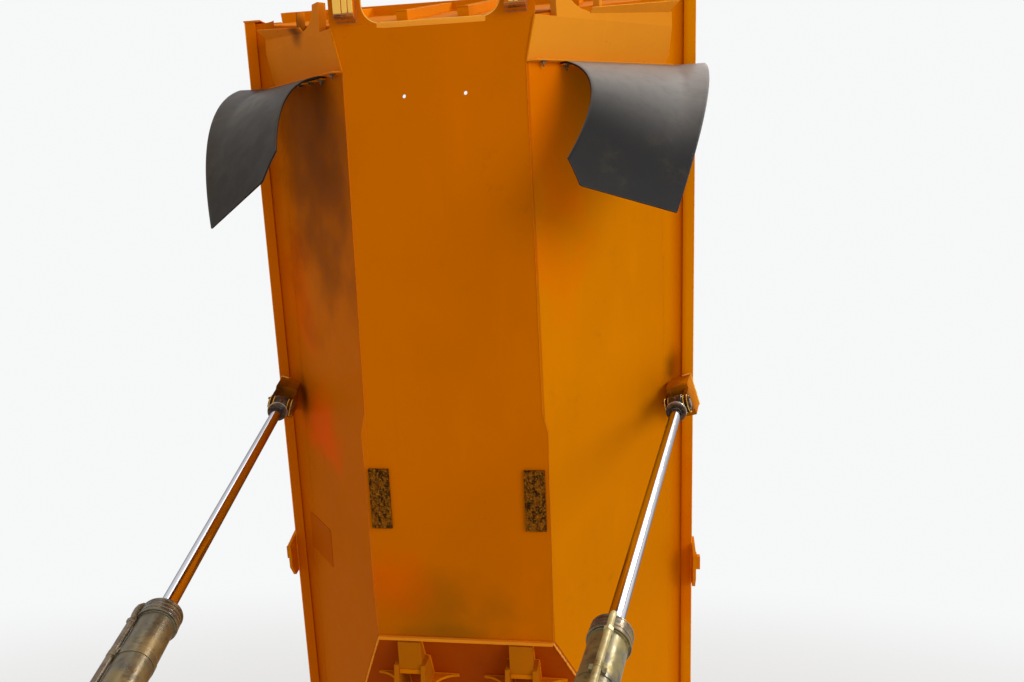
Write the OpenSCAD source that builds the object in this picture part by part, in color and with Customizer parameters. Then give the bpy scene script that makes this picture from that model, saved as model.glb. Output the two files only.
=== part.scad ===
/* [Stance] */
// Angle of the floor above level in the tipped pose
dump_angle = 70; // [50:1:72]

/* [Body shell] */
// Width over the side rails
body_w = 2800; // [2700:10:2900]
// Width of the flat floor at the kink
floor_w = 1050; // [900:10:1100]
// Width of the flat floor at its front
floor_front_w = 952; // [860:4:1000]
// Length of the flat floor, from the kink to the front wall
floor_l = 3468; // [3300:1:3600]
// Thickness of the floor plates
floor_t = 14; // [8:1:20]
// Height at the kink where the sloped sides meet the upright sides
fold_h = 915; // [820:5:960]
// Height of the side's top edge above the floor
side_h = 1380; // [1250:10:1450]
// Thickness of the side and front plates
wall_t = 10; // [6:1:14]
// Length of the rising tail, measured along its floor
tail_l = 1290; // [900:10:1400]
// Rise of the tail floor
tail_a = 24; // [15:1:26]
// Depth of the lip across the tail's end
tail_lip_h = 40; // [25:5:60]
// Cut down of the sides at the tail
tail_drop = 250; // [150:10:350]
// Forward lean of the front wall from upright
front_a = 14; // [8:1:20]

/* [Rails and ribs] */
// Width of the side rails
rail_w = 70; // [50:2:80]
// Height of the lower side rail
rail_h = 120; // [80:5:140]
// Drop from the fold down to the rail's underside
rail_drop = 50; // [40:1:60]
// Height of the top rail
top_rail_h = 100; // [60:5:120]
// Width of the side posts
post_w = 90; // [60:5:120]
// Number of posts on each side
post_count = 5; // [3:1:7]
// Depth of the side posts
post_t = 45; // [30:1:52]
// Width of the ribs on the front wall
front_rib_w = 60; // [40:5:80]
// Depth of the ribs on the front wall
front_rib_t = 50; // [30:5:60]
// Sideways place of the outer ribs
outer_rib_x = 700; // [600:10:800]
// Sideways place of the inner ribs
inner_rib_x = 160; // [120:10:260]
// Height of the outer ribs' foot up the front wall
outer_rib_foot = 560; // [450:10:650]
// Height of the inner ribs' foot up the front wall
inner_rib_foot = 60; // [40:5:120]
// Height of the rail along the top of the front wall
front_rail_h = 110; // [80:5:140]

/* [Front bands] */
// Distance from the front wall's foot back to the band's inner rear corner
band_back = 227; // [200:1:260]
// Reach of the band up the slope
band_w = 1157; // [1080:1:1170]
// How much further forward the band's outer end lies
band_rise = 47; // [20:1:60]
// Length of the band along the body at its inner end
band_l_in = 216; // [200:1:230]
// Length of the band along the body at its outer end
band_l_out = 298; // [260:2:310]
// How far the band's front stands proud of the slope
band_proud = 45; // [35:1:60]
// Thickness of the band's flange and lip
band_flange_t = 8; // [6:1:12]
// Place up the slope where the bent lip starts
lip_x = 450; // [400:10:600]
// Width of the lip at its inner end
lip_w_in = 30; // [20:1:50]
// Width of the lip at its outer end
lip_w_out = 69; // [40:1:80]
// Turn of the lip out of the slope
lip_turn = 41; // [30:1:60]
// Place of the fin up the slope
fin_x = 196; // [180:1:220]
// Width of the fin
fin_w = 88; // [70:1:100]
// How far the fins reach ahead of the floor
fin_reach = 140; // [120:5:170]
// Place up the slope where the hollow beside the fin ends
hollow_x = 483; // [440:1:520]
// How far the ears reach ahead of the floor
ear_l = 190; // [150:5:220]
// Width of the cut-out between the ears
cutout_w = 720; // [600:10:760]
// Corner radius of the cut-out
cutout_r = 98; // [50:1:110]
// Width of an ear at the floor's height
ear_w = 172; // [150:1:200]
// Width of the guide block on an ear
guide_w = 104; // [80:2:110]
// Depth of the guide block
guide_t = 50; // [30:2:60]

/* [Hinge] */
// Distance from the hinge axis to the kink
hinge_to_kink = 400; // [350:10:450]
// Height of the floor above the hinge axis
hinge_drop = 30; // [20:1:45]
// Distance between the middles of the hinge arms
hinge_arm_span = 672; // [600:2:760]
// Width of a hinge arm
hinge_arm_w = 137; // [110:1:160]
// Thickness of a hinge cheek
hinge_cheek_t = 27; // [16:1:30]
// Bore of the hinge cheeks
hinge_bore = 80; // [60:1:90]
// Outer diameter of the hinge boss
hinge_boss = 170; // [150:2:200]
// Distance from the kink to the front edge of the hinge cheeks
cheek_s = 159; // [130:1:180]
// Depth of the hinge arm below the floor
hinge_arm_h = 30; // [20:1:40]
// Length of the arm's lip beyond the front edge of the hinge cheeks
hinge_lip = 63; // [40:1:80]
// Distance from the kink to the hinge gussets
gusset_s = 332; // [300:1:335]
// Radius of the hollow in the hinge gussets
hinge_gusset_r = 150; // [120:5:170]
// Height of the bar across the kink
kink_bar_h = 22; // [15:1:30]

/* [Hoist cylinders] */
// Distance from the rail's outer face in to the rod eye
eye_in = 116; // [100:1:130]
// Distance from the kink forward to the rod eye
eye_s = 1272; // [1200:1:1400]
// Distance from the fold down to the rod eye
eye_drop = 325; // [300:1:350]
// Sideways place of the foot pin
foot_x = 434; // [400:1:480]
// Distance of the foot pin ahead of the hinge
foot_y = 3912; // [3850:1:3950]
// Drop of the foot pin below the hinge
foot_z = 228; // [200:1:250]
// Length of the barrel, from the foot pin to the gland face
barrel_l = 2395; // [2380:5:2420]
// Outer diameter of the barrel
barrel_d = 145; // [130:1:150]
// Inner diameter of the barrel
barrel_bore_d = 120; // [100:1:125]
// Outer diameter of the gland
gland_d = 160; // [152:1:170]
// Length of the gland
gland_l = 95; // [80:1:110]
// Diameter of the chrome rod
rod_d = 65; // [55:1:75]
// Length of the rod inside the barrel when it is raised
rod_in = 170; // [140:5:180]
// Diameter of the rod eye and the foot eye
eye_d = 120; // [110:1:130]
// Width of the rod eye
eye_w = 80; // [70:1:90]
// Diameter of the eye pins
pin_d = 60; // [50:1:70]
// Radial running clearance of the eye on its pin
pin_clear = 0.05; // [0.02:0.01:0.1]
// Thickness of a bracket cheek
cheek_t = 22; // [16:1:26]
// Gap between the rod eye and a cheek
cheek_gap = 6; // [5:0.5:10]
// Length of the bracket along the rail
bracket_l = 220; // [180:5:260]
// Diameter of the pressure pipe
pipe_d = 28; // [20:1:32]
// Turn of the left cylinder's pipe about the barrel
pipe_turn_left = 68; // [0:1:120]
// Turn of the right cylinder's pipe about the barrel
pipe_turn_right = 18; // [0:1:120]

/* [Flaps and fittings] */
// Thickness of the mud flap
flap_t = 10; // [8:1:14]
// Distance up the slope from the floor's edge to the flap
flap_in = 240; // [200:5:300]
// How far the flap reaches outside the rails
flap_over = 50; // [20:2:80]
// Share of the flap's width that is cut off at its lower inner corner
flap_cut = 0.2; // [0.1:0.01:0.3]
// Distance along the body from the band back to the flap's outer tip
flap_l = 775; // [700:5:850]
// Drop of the flap's outer tip below the rail
flap_drop = 1037; // [900:1:1150]
// Thickness of the strip that holds the flap
flap_strip_t = 6; // [4:1:10]
// Width of the wear pads
pad_w = 120; // [80:5:130]
// Length of the wear pads
pad_l = 363; // [250:1:400]
// Distance from the kink to the wear pads
pad_s = 705; // [600:5:800]
// Thickness of the wear pads
pad_t = 15; // [8:1:25]
// Distance from the kink to the front of the side lugs
lug_s = 250; // [200:5:300]
// Length of the side lugs
lug_l = 310; // [260:5:340]
// Thickness of the side lugs
lug_t = 20; // [15:1:25]

/* [Hidden] */
$fn = 64;

seat = 0.3;                      // clearance between pieces that seat on each other
paint = [0.85, 0.5, 0.08];
chrome = [0.85, 0.86, 0.88];
steel = [0.45, 0.45, 0.4];
rubber = [0.2, 0.2, 0.21];
far = 6000;                      // longer than the body, for cutting shapes

kink_y = -hinge_to_kink;
floor_z = hinge_drop;
front_y = kink_y - floor_l;
half_w = body_w / 2;
rail_x = half_w - rail_w;               // inner face of the side rails
wall_x = rail_x - wall_t;               // inner face of the upright side
slope_a = atan(fold_h / (wall_x - floor_w / 2));
slope_l = fold_h / sin(slope_a);
fold_z = floor_z + fold_h;
rail_z = fold_z - rail_drop;
top_z = floor_z + side_h;
taper_a = atan((floor_w - floor_front_w) / 2 / floor_l);
mitre = floor_t * tan(tail_a / 2);
tail_y = kink_y + tail_l * cos(tail_a);
tail_z = floor_z + tail_l * sin(tail_a);
post_margin = 250;                      // from the front wall to the first post

// Distance from the middle of the body to the floor's edge, at y
function edge_x(y) = floor_w / 2 + (y - kink_y) * tan(taper_a);
// Distance from the middle to the slope's outer face, at y and height z
function slope_x(y, z) = edge_x(y) + (z - floor_z) / tan(slope_a);
// Height at which the slope's outer face meets the upright side, at y
function meet_z(y) = floor_z + (wall_x - edge_x(y)) * tan(slope_a);
// Place along the body of the front wall's front face, at height z
function front_face_y(z) = front_y - (z - floor_z) * tan(front_a);
// Height of the tail floor's underside, at y
function tail_under_z(y) = floor_z + (y - kink_y) * tan(tail_a);

function unit(v) = v / norm(v);
// Turns a point from the lowered body to the tipped body
function tipped(p) = [
    p[0],
    p[1] * cos(dump_angle) + p[2] * sin(dump_angle),
    -p[1] * sin(dump_angle) + p[2] * cos(dump_angle)
];

eye_lowered = [half_w - eye_in, kink_y - eye_s, fold_z - eye_drop];
eye = tipped(eye_lowered);
foot = [foot_x, -foot_y, -foot_z];
lowered_dir = tipped(unit(foot - eye_lowered));
cyl_dir = unit(foot - eye);
pin_axis = unit(cross(lowered_dir, cyl_dir));
cyl_side = cross(cyl_dir, pin_axis);
cyl_l = norm(foot - eye);
rod_show = cyl_l - barrel_l;

module tip() {
    rotate([-dump_angle, 0, 0]) children();
}

// The left of the machine is +X; the right side is its mirror image
module side(left) {
    if (left) children();
    else mirror([1, 0, 0]) children();
}

// Cylinder frame: origin at the rod eye, Z towards the foot, X along the pin
module at_cylinder() {
    multmatrix([
        [pin_axis[0], cyl_side[0], cyl_dir[0], eye[0]],
        [pin_axis[1], cyl_side[1], cyl_dir[1], eye[1]],
        [pin_axis[2], cyl_side[2], cyl_dir[2], eye[2]],
        [0, 0, 0, 1]
    ]) children();
}

// Slope frame: X up the slope from the floor's edge, -Y ahead of the kink, -Z out of the slope
module at_slope() {
    translate([floor_w / 2, kink_y, floor_z]) rotate([0, 0, -taper_a]) rotate([0, -slope_a, 0]) children();
}

band_s = floor_l - band_back;
band_turn = atan(band_rise / band_w);
// Band frame: the slope frame moved to the band's inner rear corner and turned along its rear edge
module at_band() {
    at_slope() translate([0, -band_s, 0]) rotate([0, 0, -band_turn]) children();
}

// Extrudes an outline drawn in Y and Z, from x0 to x1
module across(x0, x1) {
    translate([x0, 0, 0]) rotate([90, 0, 90]) linear_extrude(x1 - x0) children();
}

// Everything below the upper face of the floor plates
module below_floor(t) {
    across(-half_w, half_w) polygon([
        [-far, floor_z - far], [far, floor_z - far], [far, tail_under_z(far) + t / cos(tail_a)],
        [kink_y, floor_z + t / cos(tail_a)], [kink_y, floor_z + t], [-far, floor_z + t]
    ]);
}

// Everything ahead of the front wall's rear face, set back by gap
module ahead_of_front(gap) {
    inset = (wall_t + gap) / cos(front_a);
    across(-half_w - 1, half_w + 1) polygon([
        [front_face_y(-far) + inset, -far], [front_face_y(far) + inset, far],
        [-2 * far, far], [-2 * far, -far]
    ]);
}

// The solid region behind the outer faces of slope and rail, grown by gap
module slope_side(gap) {
    at_slope() translate([-far, -far, -gap]) cube([2 * far, 2 * far, far]);
    translate([wall_x - gap, -far, fold_z - gap]) cube([far, 2 * far, far]);
    translate([rail_x - gap, -far, rail_z - gap]) cube([far, 2 * far, far]);
}

module side_edges() {
    linear_extrude(far, center = true) polygon([
        [-slope_x(tail_y, tail_z), tail_y], [slope_x(tail_y, tail_z), tail_y],
        [edge_x(kink_y), kink_y], [edge_x(front_y), front_y],
        [-edge_x(front_y), front_y], [-edge_x(kink_y), kink_y]
    ]);
}

module floor_panel() {
    hole_d = 20;
    hole_x = 162;
    hole_s = floor_l - 363;
    color(paint) tip() difference() {
        intersection() {
            side_edges();
            across(-half_w, half_w) polygon([
                [front_y, floor_z], [kink_y - seat, floor_z],
                [kink_y - seat - mitre, floor_z + floor_t], [front_y, floor_z + floor_t]
            ]);
        }
        for (x = [-hole_x, hole_x])
            translate([x, kink_y - hole_s, floor_z - 1]) cylinder(d = hole_d, h = floor_t + 2);
    }
}

module kink_bar() {
    bar_l = 20;
    x = edge_x(kink_y);
    color(paint) tip()
        translate([-x, kink_y - bar_l / 2, floor_z - kink_bar_h - seat]) cube([2 * x, bar_l, kink_bar_h]);
}

module tail_floor() {
    rise = [-floor_t * sin(tail_a), floor_t * cos(tail_a)];
    color(paint) tip() intersection() {
        side_edges();
        across(-half_w, half_w) polygon([
            [kink_y, floor_z], [tail_y, tail_z], [tail_y, tail_z] + rise, [kink_y - mitre, floor_z + floor_t]
        ]);
    }
}

module tail_lip() {
    lip_t = 40;
    x = slope_x(tail_y, tail_z);
    color(paint) tip()
        translate([-x, tail_y + seat, tail_z - tail_lip_h]) cube([2 * x, lip_t, tail_lip_h + floor_t]);
}

module side_slope(left) {
    spare = 300;                        // beyond the body, cut off where the plate meets its neighbours
    color(paint) tip() side(left) difference() {
        intersection() {
            at_slope() translate([-spare, -far, 0]) cube([slope_l + 2 * spare, 2 * far, wall_t]);
            translate([0, -far, -far]) cube([wall_x, far + tail_y, 2 * far]);
        }
        below_floor(floor_t + seat);
        ahead_of_front(seat);
    }
}

module side_wall(left) {
    chamfer = 2 * tail_drop;
    ahead = front_y - 2 * side_h;
    color(paint) tip() side(left) difference() {
        across(wall_x + seat, wall_x + wall_t) polygon([
            [tail_y, meet_z(tail_y)], [tail_y, top_z - tail_drop], [tail_y - chamfer, top_z],
            [ahead, top_z], [ahead, meet_z(ahead)]
        ]);
        ahead_of_front(seat);
    }
}

module lower_rail(left) {
    end_y = front_face_y(rail_z + rail_h);
    cap_t = 8;
    cap_in = 35;
    color(paint) tip() side(left) {
        translate([rail_x + seat, end_y, rail_z]) cube([rail_w - seat, tail_y - end_y, rail_h]);
        translate([rail_x - cap_in, end_y - cap_t, rail_z]) cube([rail_w + cap_in + cap_t, cap_t, rail_h]);
    }
}

module top_rail(left) {
    end_y = front_face_y(top_z) + 20;
    color(paint) tip() side(left)
        translate([rail_x + seat, end_y, top_z - top_rail_h])
        cube([rail_w - seat, tail_y - 2 * tail_drop - end_y, top_rail_h]);
}

module side_posts(left) {
    z0 = rail_z + rail_h + seat;
    first = front_y + post_margin;
    step = (tail_y - 2 * tail_drop - post_w - first) / (post_count - 1);
    color(paint) tip() side(left)
        for (i = [0 : post_count - 1])
            translate([rail_x + seat, first + i * step - post_w / 2, z0])
            cube([post_t, post_w, top_z - top_rail_h - seat - z0]);
}

// Front wall frame: origin on the floor's front edge, X across, Z up the wall, -Y out of it
module at_front() {
    translate([0, front_y, floor_z]) rotate([front_a, 0, 0]) children();
}

front_l = side_h / cos(front_a);         // height of the front wall along its lean
front_fold_h = (wall_x - edge_x(front_y)) / (1 / tan(slope_a) - tan(front_a) * tan(taper_a));
front_fold_l = front_fold_h / cos(front_a);

module front_wall() {
    foot_x = edge_x(front_y) - seat;
    color(paint) tip() difference() {
        at_front() rotate([90, 0, 0]) translate([0, 0, -wall_t]) linear_extrude(wall_t) polygon([
            [-foot_x, 0], [foot_x, 0], [wall_x - seat, front_fold_l], [wall_x, front_fold_l],
            [wall_x, front_l], [-wall_x, front_l], [-wall_x, front_fold_l], [-wall_x + seat, front_fold_l]
        ]);
        translate([-half_w, front_y - far, floor_z - far]) cube([body_w, 2 * far, far + floor_t + seat]);
    }
}

// Ribs on the front wall: sideways place and height of the foot
front_rib_table = [
    [-outer_rib_x, outer_rib_foot], [-inner_rib_x, inner_rib_foot],
    [inner_rib_x, inner_rib_foot], [outer_rib_x, outer_rib_foot]
];

module front_ribs() {
    color(paint) tip() at_front()
        for (r = front_rib_table)
            translate([r[0] - front_rib_w / 2, -front_rib_t - seat, r[1]])
            cube([front_rib_w, front_rib_t, front_l - front_rail_h - seat - r[1]]);
}

module front_top_rail() {
    rail_t = 60;
    color(paint) tip() at_front()
        translate([-wall_x, -rail_t - seat, front_l - front_rail_h]) cube([2 * wall_x, rail_t, front_rail_h]);
}

band_slant = atan((band_l_out - band_l_in) / band_w);
fin_end = band_back + fin_reach;
function bend(a, b, c, t) = a * (1 - t) * (1 - t) + b * 2 * t * (1 - t) + c * t * t;
hollow_end = [hollow_x, -band_l_in - hollow_x * tan(band_slant)];
hollow_pull = [fin_x + fin_w, hollow_end[1] - 10];
hollow = [for (i = [0 : 8]) bend(hollow_end, hollow_pull, [fin_x + fin_w, -fin_end], i / 8)];

// Outline of the band in its frame: inner edge, rear edge, front edge, hollow, fin
band_outline = concat(
    [[-2 * band_proud, 0], [band_w, 0], [band_w, -band_l_out]], hollow,
    [[fin_x, -fin_end], [fin_x, -band_l_in], [-2 * band_proud, -band_l_in]]
);

module front_band(left) {
    edge_t = 3;
    rib_x = 524;
    rib_w = 23;
    mitre_l = 25;                       // how far the lip's outer corner reaches beyond the band
    bite = 2;                           // how deep the lip is set in the band's edge
    color(paint) tip() side(left) difference() {
        union() {
            at_band() intersection() {
                translate([0, 0, -band_proud]) linear_extrude(band_proud - seat) polygon(band_outline);
                across(-2 * band_proud, band_w) polygon([
                    [0, -seat], [0, -edge_t], [-band_l_in, -band_proud],
                    [-fin_end, -band_proud], [-fin_end, -seat]
                ]);
            }
            at_band() translate([0, -band_flange_t, -band_proud])
                cube([band_w, band_flange_t, band_proud - seat]);
            at_band() translate([0, -band_l_in, -band_proud]) rotate([0, 0, -band_slant])
                rotate([lip_turn, 0, 0]) translate([0, 0, -bite]) linear_extrude(band_flange_t) polygon([
                    [lip_x, band_flange_t], [band_w - mitre_l, band_flange_t],
                    [band_w + mitre_l, -lip_w_out], [lip_x, -lip_w_in]
                ]);
            at_band() translate([rib_x, -fin_end, -band_proud])
                cube([rib_w, fin_end - band_l_in, band_proud - seat]);
        }
        translate([-far, -far, -far]) cube([2 * far, 2 * far, far + floor_z]);
    }
}

// Ear: a plate at the floor's height beside the cut-out, with a guide block on its underside
module front_ear(left) {
    inner = cutout_w / 2;
    guide_in = 26;
    guide_l = ear_l - 10;
    guide_slant = 25;
    arc = [for (i = [0 : 6]) [inner - cutout_r + cutout_r * sin(i * 15), -cutout_r + cutout_r * cos(i * 15)]];
    color(paint) tip() side(left) {
        translate([0, front_y - seat, floor_z]) linear_extrude(floor_t) polygon(concat(
            [[inner + ear_w, 0]], arc, [[inner, -ear_l], [inner + ear_w, -ear_l]]
        ));
        translate([inner + guide_in, front_y - ear_l, floor_z + floor_t]) rotate([0, 90, 0])
            linear_extrude(guide_w) polygon([
                [0, 0], [guide_t + floor_t, 0], [guide_t + floor_t, guide_l - guide_slant], [0, guide_l]
            ]);
    }
}

cheek_x0 = hinge_arm_span / 2 - hinge_arm_w / 2 - hinge_cheek_t;
cheek_x1 = hinge_arm_span / 2 + hinge_arm_w / 2 + hinge_cheek_t;

// Box arm under the tail floor that ends between two bored cheeks
module hinge_arm(left) {
    arm_end = kink_y + cheek_s + hinge_lip;
    arm_start = kink_y + 15;
    cheek_y = kink_y + cheek_s;
    r = hinge_boss / 2;
    color(paint) tip() side(left) difference() {
        union() {
            across(cheek_x0 + hinge_cheek_t, cheek_x1 - hinge_cheek_t) polygon([
                [arm_start, floor_z - hinge_arm_h], [arm_end, floor_z - hinge_arm_h],
                [arm_end, tail_under_z(arm_end) - seat], [arm_start, tail_under_z(arm_start) - seat]
            ]);
            for (x = [cheek_x0, cheek_x1 - hinge_cheek_t])
                across(x, x + hinge_cheek_t) union() {
                    circle(r = r);
                    polygon([
                        [cheek_y, tail_under_z(cheek_y) - seat], [cheek_y, floor_z - hinge_arm_h - 15],
                        [-r * 0.7, -r * 0.7], [r, 0], [r, tail_under_z(r) - seat]
                    ]);
                }
        }
        rotate([0, 90, 0]) cylinder(d = hinge_bore, h = half_w);
    }
}

// Gussets with hollow edges that brace the hinge cheeks against the tail floor
module hinge_gussets(left) {
    y = kink_y + gusset_s;
    t = 16;
    foot = 12;
    drop = 8;
    top = tail_under_z(y) - seat;
    r = hinge_gusset_r;
    arc = [for (i = [0 : 6]) [r - r * sin(i * 15), -r + r * cos(i * 15)]];
    color(paint) tip() side(left) {
        for (g = [[cheek_x1 + seat, 1], [cheek_x0 - seat, -1]])
            translate([g[0], y + t, top]) rotate([90, 0, 0]) linear_extrude(t) polygon(concat(
                [[0, 0], [g[1] * (r + foot), 0]],
                [for (p = arc) [g[1] * (p[0] + foot), p[1] - drop]],
                [[0, -r - drop]]
            ));
    }
}

module wear_pad(left) {
    color(rubber) tip() side(left)
        translate([edge_x(kink_y - pad_s - pad_l) - pad_w, kink_y - pad_s - pad_l, floor_z - pad_t - seat])
        cube([pad_w, pad_l, pad_t]);
}

// Plate with an eye that hangs from the rail's outer face
module side_lug(left) {
    y0 = kink_y - lug_s;
    hole_d = 32;
    low = rail_z - 100;
    color(paint) tip() side(left) difference() {
        union() {
            across(half_w + seat, half_w + lug_t) polygon([
                [y0, rail_z + 60], [y0 + 20, rail_z], [y0 + 60, low], [y0 + lug_l - 80, low],
                [y0 + lug_l, rail_z - 50], [y0 + lug_l - 20, rail_z + 60]
            ]);
            translate([half_w + lug_t, y0 + 90, rail_z - 60]) cube([30, 90, 40]);
        }
        translate([half_w, y0 + 80, low + 35]) rotate([0, 90, 0]) cylinder(d = hole_d, h = lug_t + 1);
    }
}

// Point in the lowered body: x up the slope, s ahead of the kink, p proud of the slope
function on_slope(x, s, p) =
    let (u = x * cos(slope_a) + p * sin(slope_a))
    [
        floor_w / 2 + u * cos(taper_a) - s * sin(taper_a),
        kink_y - u * sin(taper_a) - s * cos(taper_a),
        floor_z + x * sin(slope_a) - p * cos(slope_a)
    ];

// Point in the lowered body: x along the band's rear edge, s ahead of it, p proud of the slope
function on_band(x, s, p) =
    on_slope(x * cos(band_turn) - s * sin(band_turn), band_s + x * sin(band_turn) + s * cos(band_turn), p);

flap_s = -seat - flap_t;
flap_out = band_w - 12;                 // outer end of the flap's root on the slope

module flap_strip(left) {
    strip_proud = band_proud - 8;
    color(paint) tip() side(left)
        at_band() translate([flap_in, seat - flap_s, -strip_proud])
        cube([flap_out - flap_in, flap_strip_t, strip_proud - seat]);
}

// Pull point and end of each flap's inner and outer edge, as shares of half the body's
// width, of flap_l back from the band and of flap_drop below the rail
flap_edges_left = [
    [0.677, 0.129, 0.861], [0.4536, 0.761, 1.2006], [1.053, 0.108, 0.559], [0.8643, 1, 1]
];
flap_edges_right = [
    [0.6386, 0.0426, 0.788], [0.48, 0.635, 1.292], [1.0586, 0.1265, 0.567], [0.8643, 1, 0.985]
];
flap_rows = 12;
flap_cols = 10;
flap_fold = 8;                          // column at which the root turns out under the rail

function flap_place(p) = [p[0] * half_w, kink_y - band_s + p[1] * flap_l, rail_z - p[2] * flap_drop];
// The root lies between band and strip and runs out under the rail
function flap_root(i, p) =
    let (
        f = min(i, flap_fold) / flap_fold,
        g = max(i - flap_fold, 0) / (flap_cols - flap_fold),
        a = on_band(flap_in + (flap_out - flap_in) * f, flap_s, p),
        b = [half_w + flap_over, a[1], rail_z - 6 - p]
    )
    a + (b - a) * g;
// Past the strip the flap hangs in a curve; its lower inner corner is cut off
function flap_point(e, i, j) =
    let (
        f = i / flap_cols,
        pull = flap_place(e[0] * (1 - f) + e[2] * f),
        end = flap_place(e[1] * (1 - f) + e[3] * f),
        cut = 0.1 * max(0, 1 - f / flap_cut)
    )
    j == 0 ? flap_root(i, 4)
    : bend(flap_root(i, band_proud), pull, end, (1 - cut) * (j - 1) / (flap_rows - 1));
function flap_normal(e, i, j) =
    let (
        i0 = max(i - 1, 0), i1 = min(i + 1, flap_cols),
        j0 = j < 2 ? 0 : j - 1, j1 = j < 2 ? 1 : min(j + 1, flap_rows)
    )
    unit(cross(flap_point(e, i, j1) - flap_point(e, i, j0), flap_point(e, i1, j) - flap_point(e, i0, j)));

module mud_flap(left) {
    n = flap_cols + 1;
    q = n * (flap_rows + 1);
    grid = [for (j = [0 : flap_rows], i = [0 : flap_cols]) [i, j]];
    e = left ? flap_edges_left : flap_edges_right;
    back = [for (g = grid) flap_point(e, g[0], g[1])];
    front = [for (g = grid) flap_point(e, g[0], g[1]) + flap_t * flap_normal(e, g[0], g[1])];
    cells = [for (j = [0 : flap_rows - 1], i = [0 : flap_cols - 1]) j * n + i];
    rows = [for (j = [0 : flap_rows - 1]) j * n];
    last = flap_rows * n;
    faces = concat(
        [for (c = cells) each [[c, c + 1, c + n], [c + 1, c + n + 1, c + n]]],
        [for (c = cells) each [[q + c, q + c + n, q + c + 1], [q + c + 1, q + c + n, q + c + n + 1]]],
        [for (i = [0 : flap_cols - 1]) each [[i, q + i, i + 1], [i + 1, q + i, q + i + 1]]],
        [for (i = [last : last + flap_cols - 1]) each [[i, i + 1, q + i], [i + 1, q + i + 1, q + i]]],
        [for (r = rows) each [[r, r + n, q + r], [r + n, q + r + n, q + r]]],
        [for (r = rows) each [[r + n - 1, q + r + n - 1, r + 2 * n - 1],
            [r + 2 * n - 1, q + r + n - 1, q + r + 2 * n - 1]]]
    );
    color(rubber) tip() side(left) polyhedron(points = concat(back, front), faces = faces, convexity = 6);
}

cheek_x = eye_w / 2 + cheek_gap;

// Clevis under the rail: a block with two cheeks and the pin
module cylinder_bracket(left) {
    cheek_r = eye_d / 2 - 5;
    head_t = 8;
    reach = eye_drop + 100;
    outer = cheek_x + cheek_t;
    color(paint) side(left) difference() {
        at_cylinder() union() {
            for (x = [-outer, cheek_x])
                translate([x, 0, 0]) rotate([0, 90, 0]) linear_extrude(cheek_t) hull() {
                    circle(r = cheek_r);
                    translate([reach, -bracket_l / 4]) square([1, bracket_l], center = true);
                }
            translate([-outer, -bracket_l / 2 - 20, -reach]) cube([2 * outer, bracket_l - 10, reach - eye_d]);
            translate([-outer - head_t, 0, 0]) rotate([0, 90, 0])
                cylinder(d = pin_d, h = 2 * (outer + head_t));
        }
        tip() slope_side(seat);
    }
}

module rod(left) {
    color(chrome) side(left) at_cylinder() difference() {
        union() {
            rotate([0, 90, 0]) cylinder(d = eye_d, h = eye_w, center = true);
            cylinder(d = rod_d, h = rod_show + rod_in);
        }
        rotate([0, 90, 0]) cylinder(d = pin_d + 2 * pin_clear, h = eye_w + 2, center = true);
    }
}

module barrel(left) {
    base = 80;                          // from the foot pin to the barrel's closed end
    neck_d = 100;
    color(steel) side(left) at_cylinder() difference() {
        union() {
            translate([0, 0, rod_show + gland_l]) cylinder(d = barrel_d, h = barrel_l - gland_l - base);
            translate([0, 0, cyl_l]) rotate([0, 90, 0]) cylinder(d = eye_d, h = eye_w, center = true);
            translate([0, 0, cyl_l - base - 20]) cylinder(d = neck_d, h = base - 20);
        }
        translate([0, 0, rod_show - 1]) cylinder(d = barrel_bore_d, h = barrel_l - base - 70);
        translate([0, 0, cyl_l]) rotate([0, 90, 0]) cylinder(d = pin_d, h = eye_w + 2, center = true);
    }
}

// Gland: a collar with a chamfered nose round the rod
module gland(left) {
    nose = 25;
    r = gland_d / 2;
    hole_r = rod_d / 2 + 0.5;
    color(steel) side(left) at_cylinder() translate([0, 0, rod_show]) rotate_extrude() polygon([
        [hole_r, 0], [r - nose, 0], [r, nose], [r, gland_l - seat], [hole_r, gland_l - seat]
    ]);
}

// Oil pipe along the barrel, turned about it by its own angle on each side
module pressure_pipe(left) {
    turn = left ? pipe_turn_left : pipe_turn_right;
    pipe_l = barrel_l - gland_l - 250;
    color(steel) side(left) at_cylinder() rotate([0, 0, turn])
        translate([(barrel_d + pipe_d) / 2 + seat, 0, rod_show + gland_l + 20])
        cylinder(d = pipe_d, h = pipe_l);
}

floor_panel();
kink_bar();
tail_floor();
tail_lip();
side_slope(true);  // side_slope_left
side_slope(false);  // side_slope_right
side_wall(true);  // side_wall_left
side_wall(false);  // side_wall_right
lower_rail(true);  // lower_rail_left
lower_rail(false);  // lower_rail_right
top_rail(true);  // top_rail_left
top_rail(false);  // top_rail_right
side_posts(true);  // side_posts_left
side_posts(false);  // side_posts_right
front_wall();
front_ribs();
front_top_rail();
front_band(true);  // front_band_left
front_band(false);  // front_band_right
front_ear(true);  // front_ear_left
front_ear(false);  // front_ear_right
hinge_gussets(true);  // hinge_gussets_left
hinge_gussets(false);  // hinge_gussets_right
hinge_arm(true);  // hinge_arm_left
hinge_arm(false);  // hinge_arm_right
wear_pad(true);  // wear_pad_left
wear_pad(false);  // wear_pad_right
side_lug(true);  // side_lug_left
side_lug(false);  // side_lug_right
flap_strip(true);  // flap_strip_left
flap_strip(false);  // flap_strip_right
mud_flap(true);  // mud_flap_left
mud_flap(false);  // mud_flap_right
cylinder_bracket(true);  // cylinder_bracket_left
cylinder_bracket(false);  // cylinder_bracket_right
rod(true);  // rod_left
rod(false);  // rod_right
barrel(true);  // barrel_left
barrel(false);  // barrel_right
gland(true);  // gland_left
gland(false);  // gland_right
pressure_pipe(true);  // pressure_pipe_left
pressure_pipe(false);  // pressure_pipe_right
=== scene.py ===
import math
import random

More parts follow.
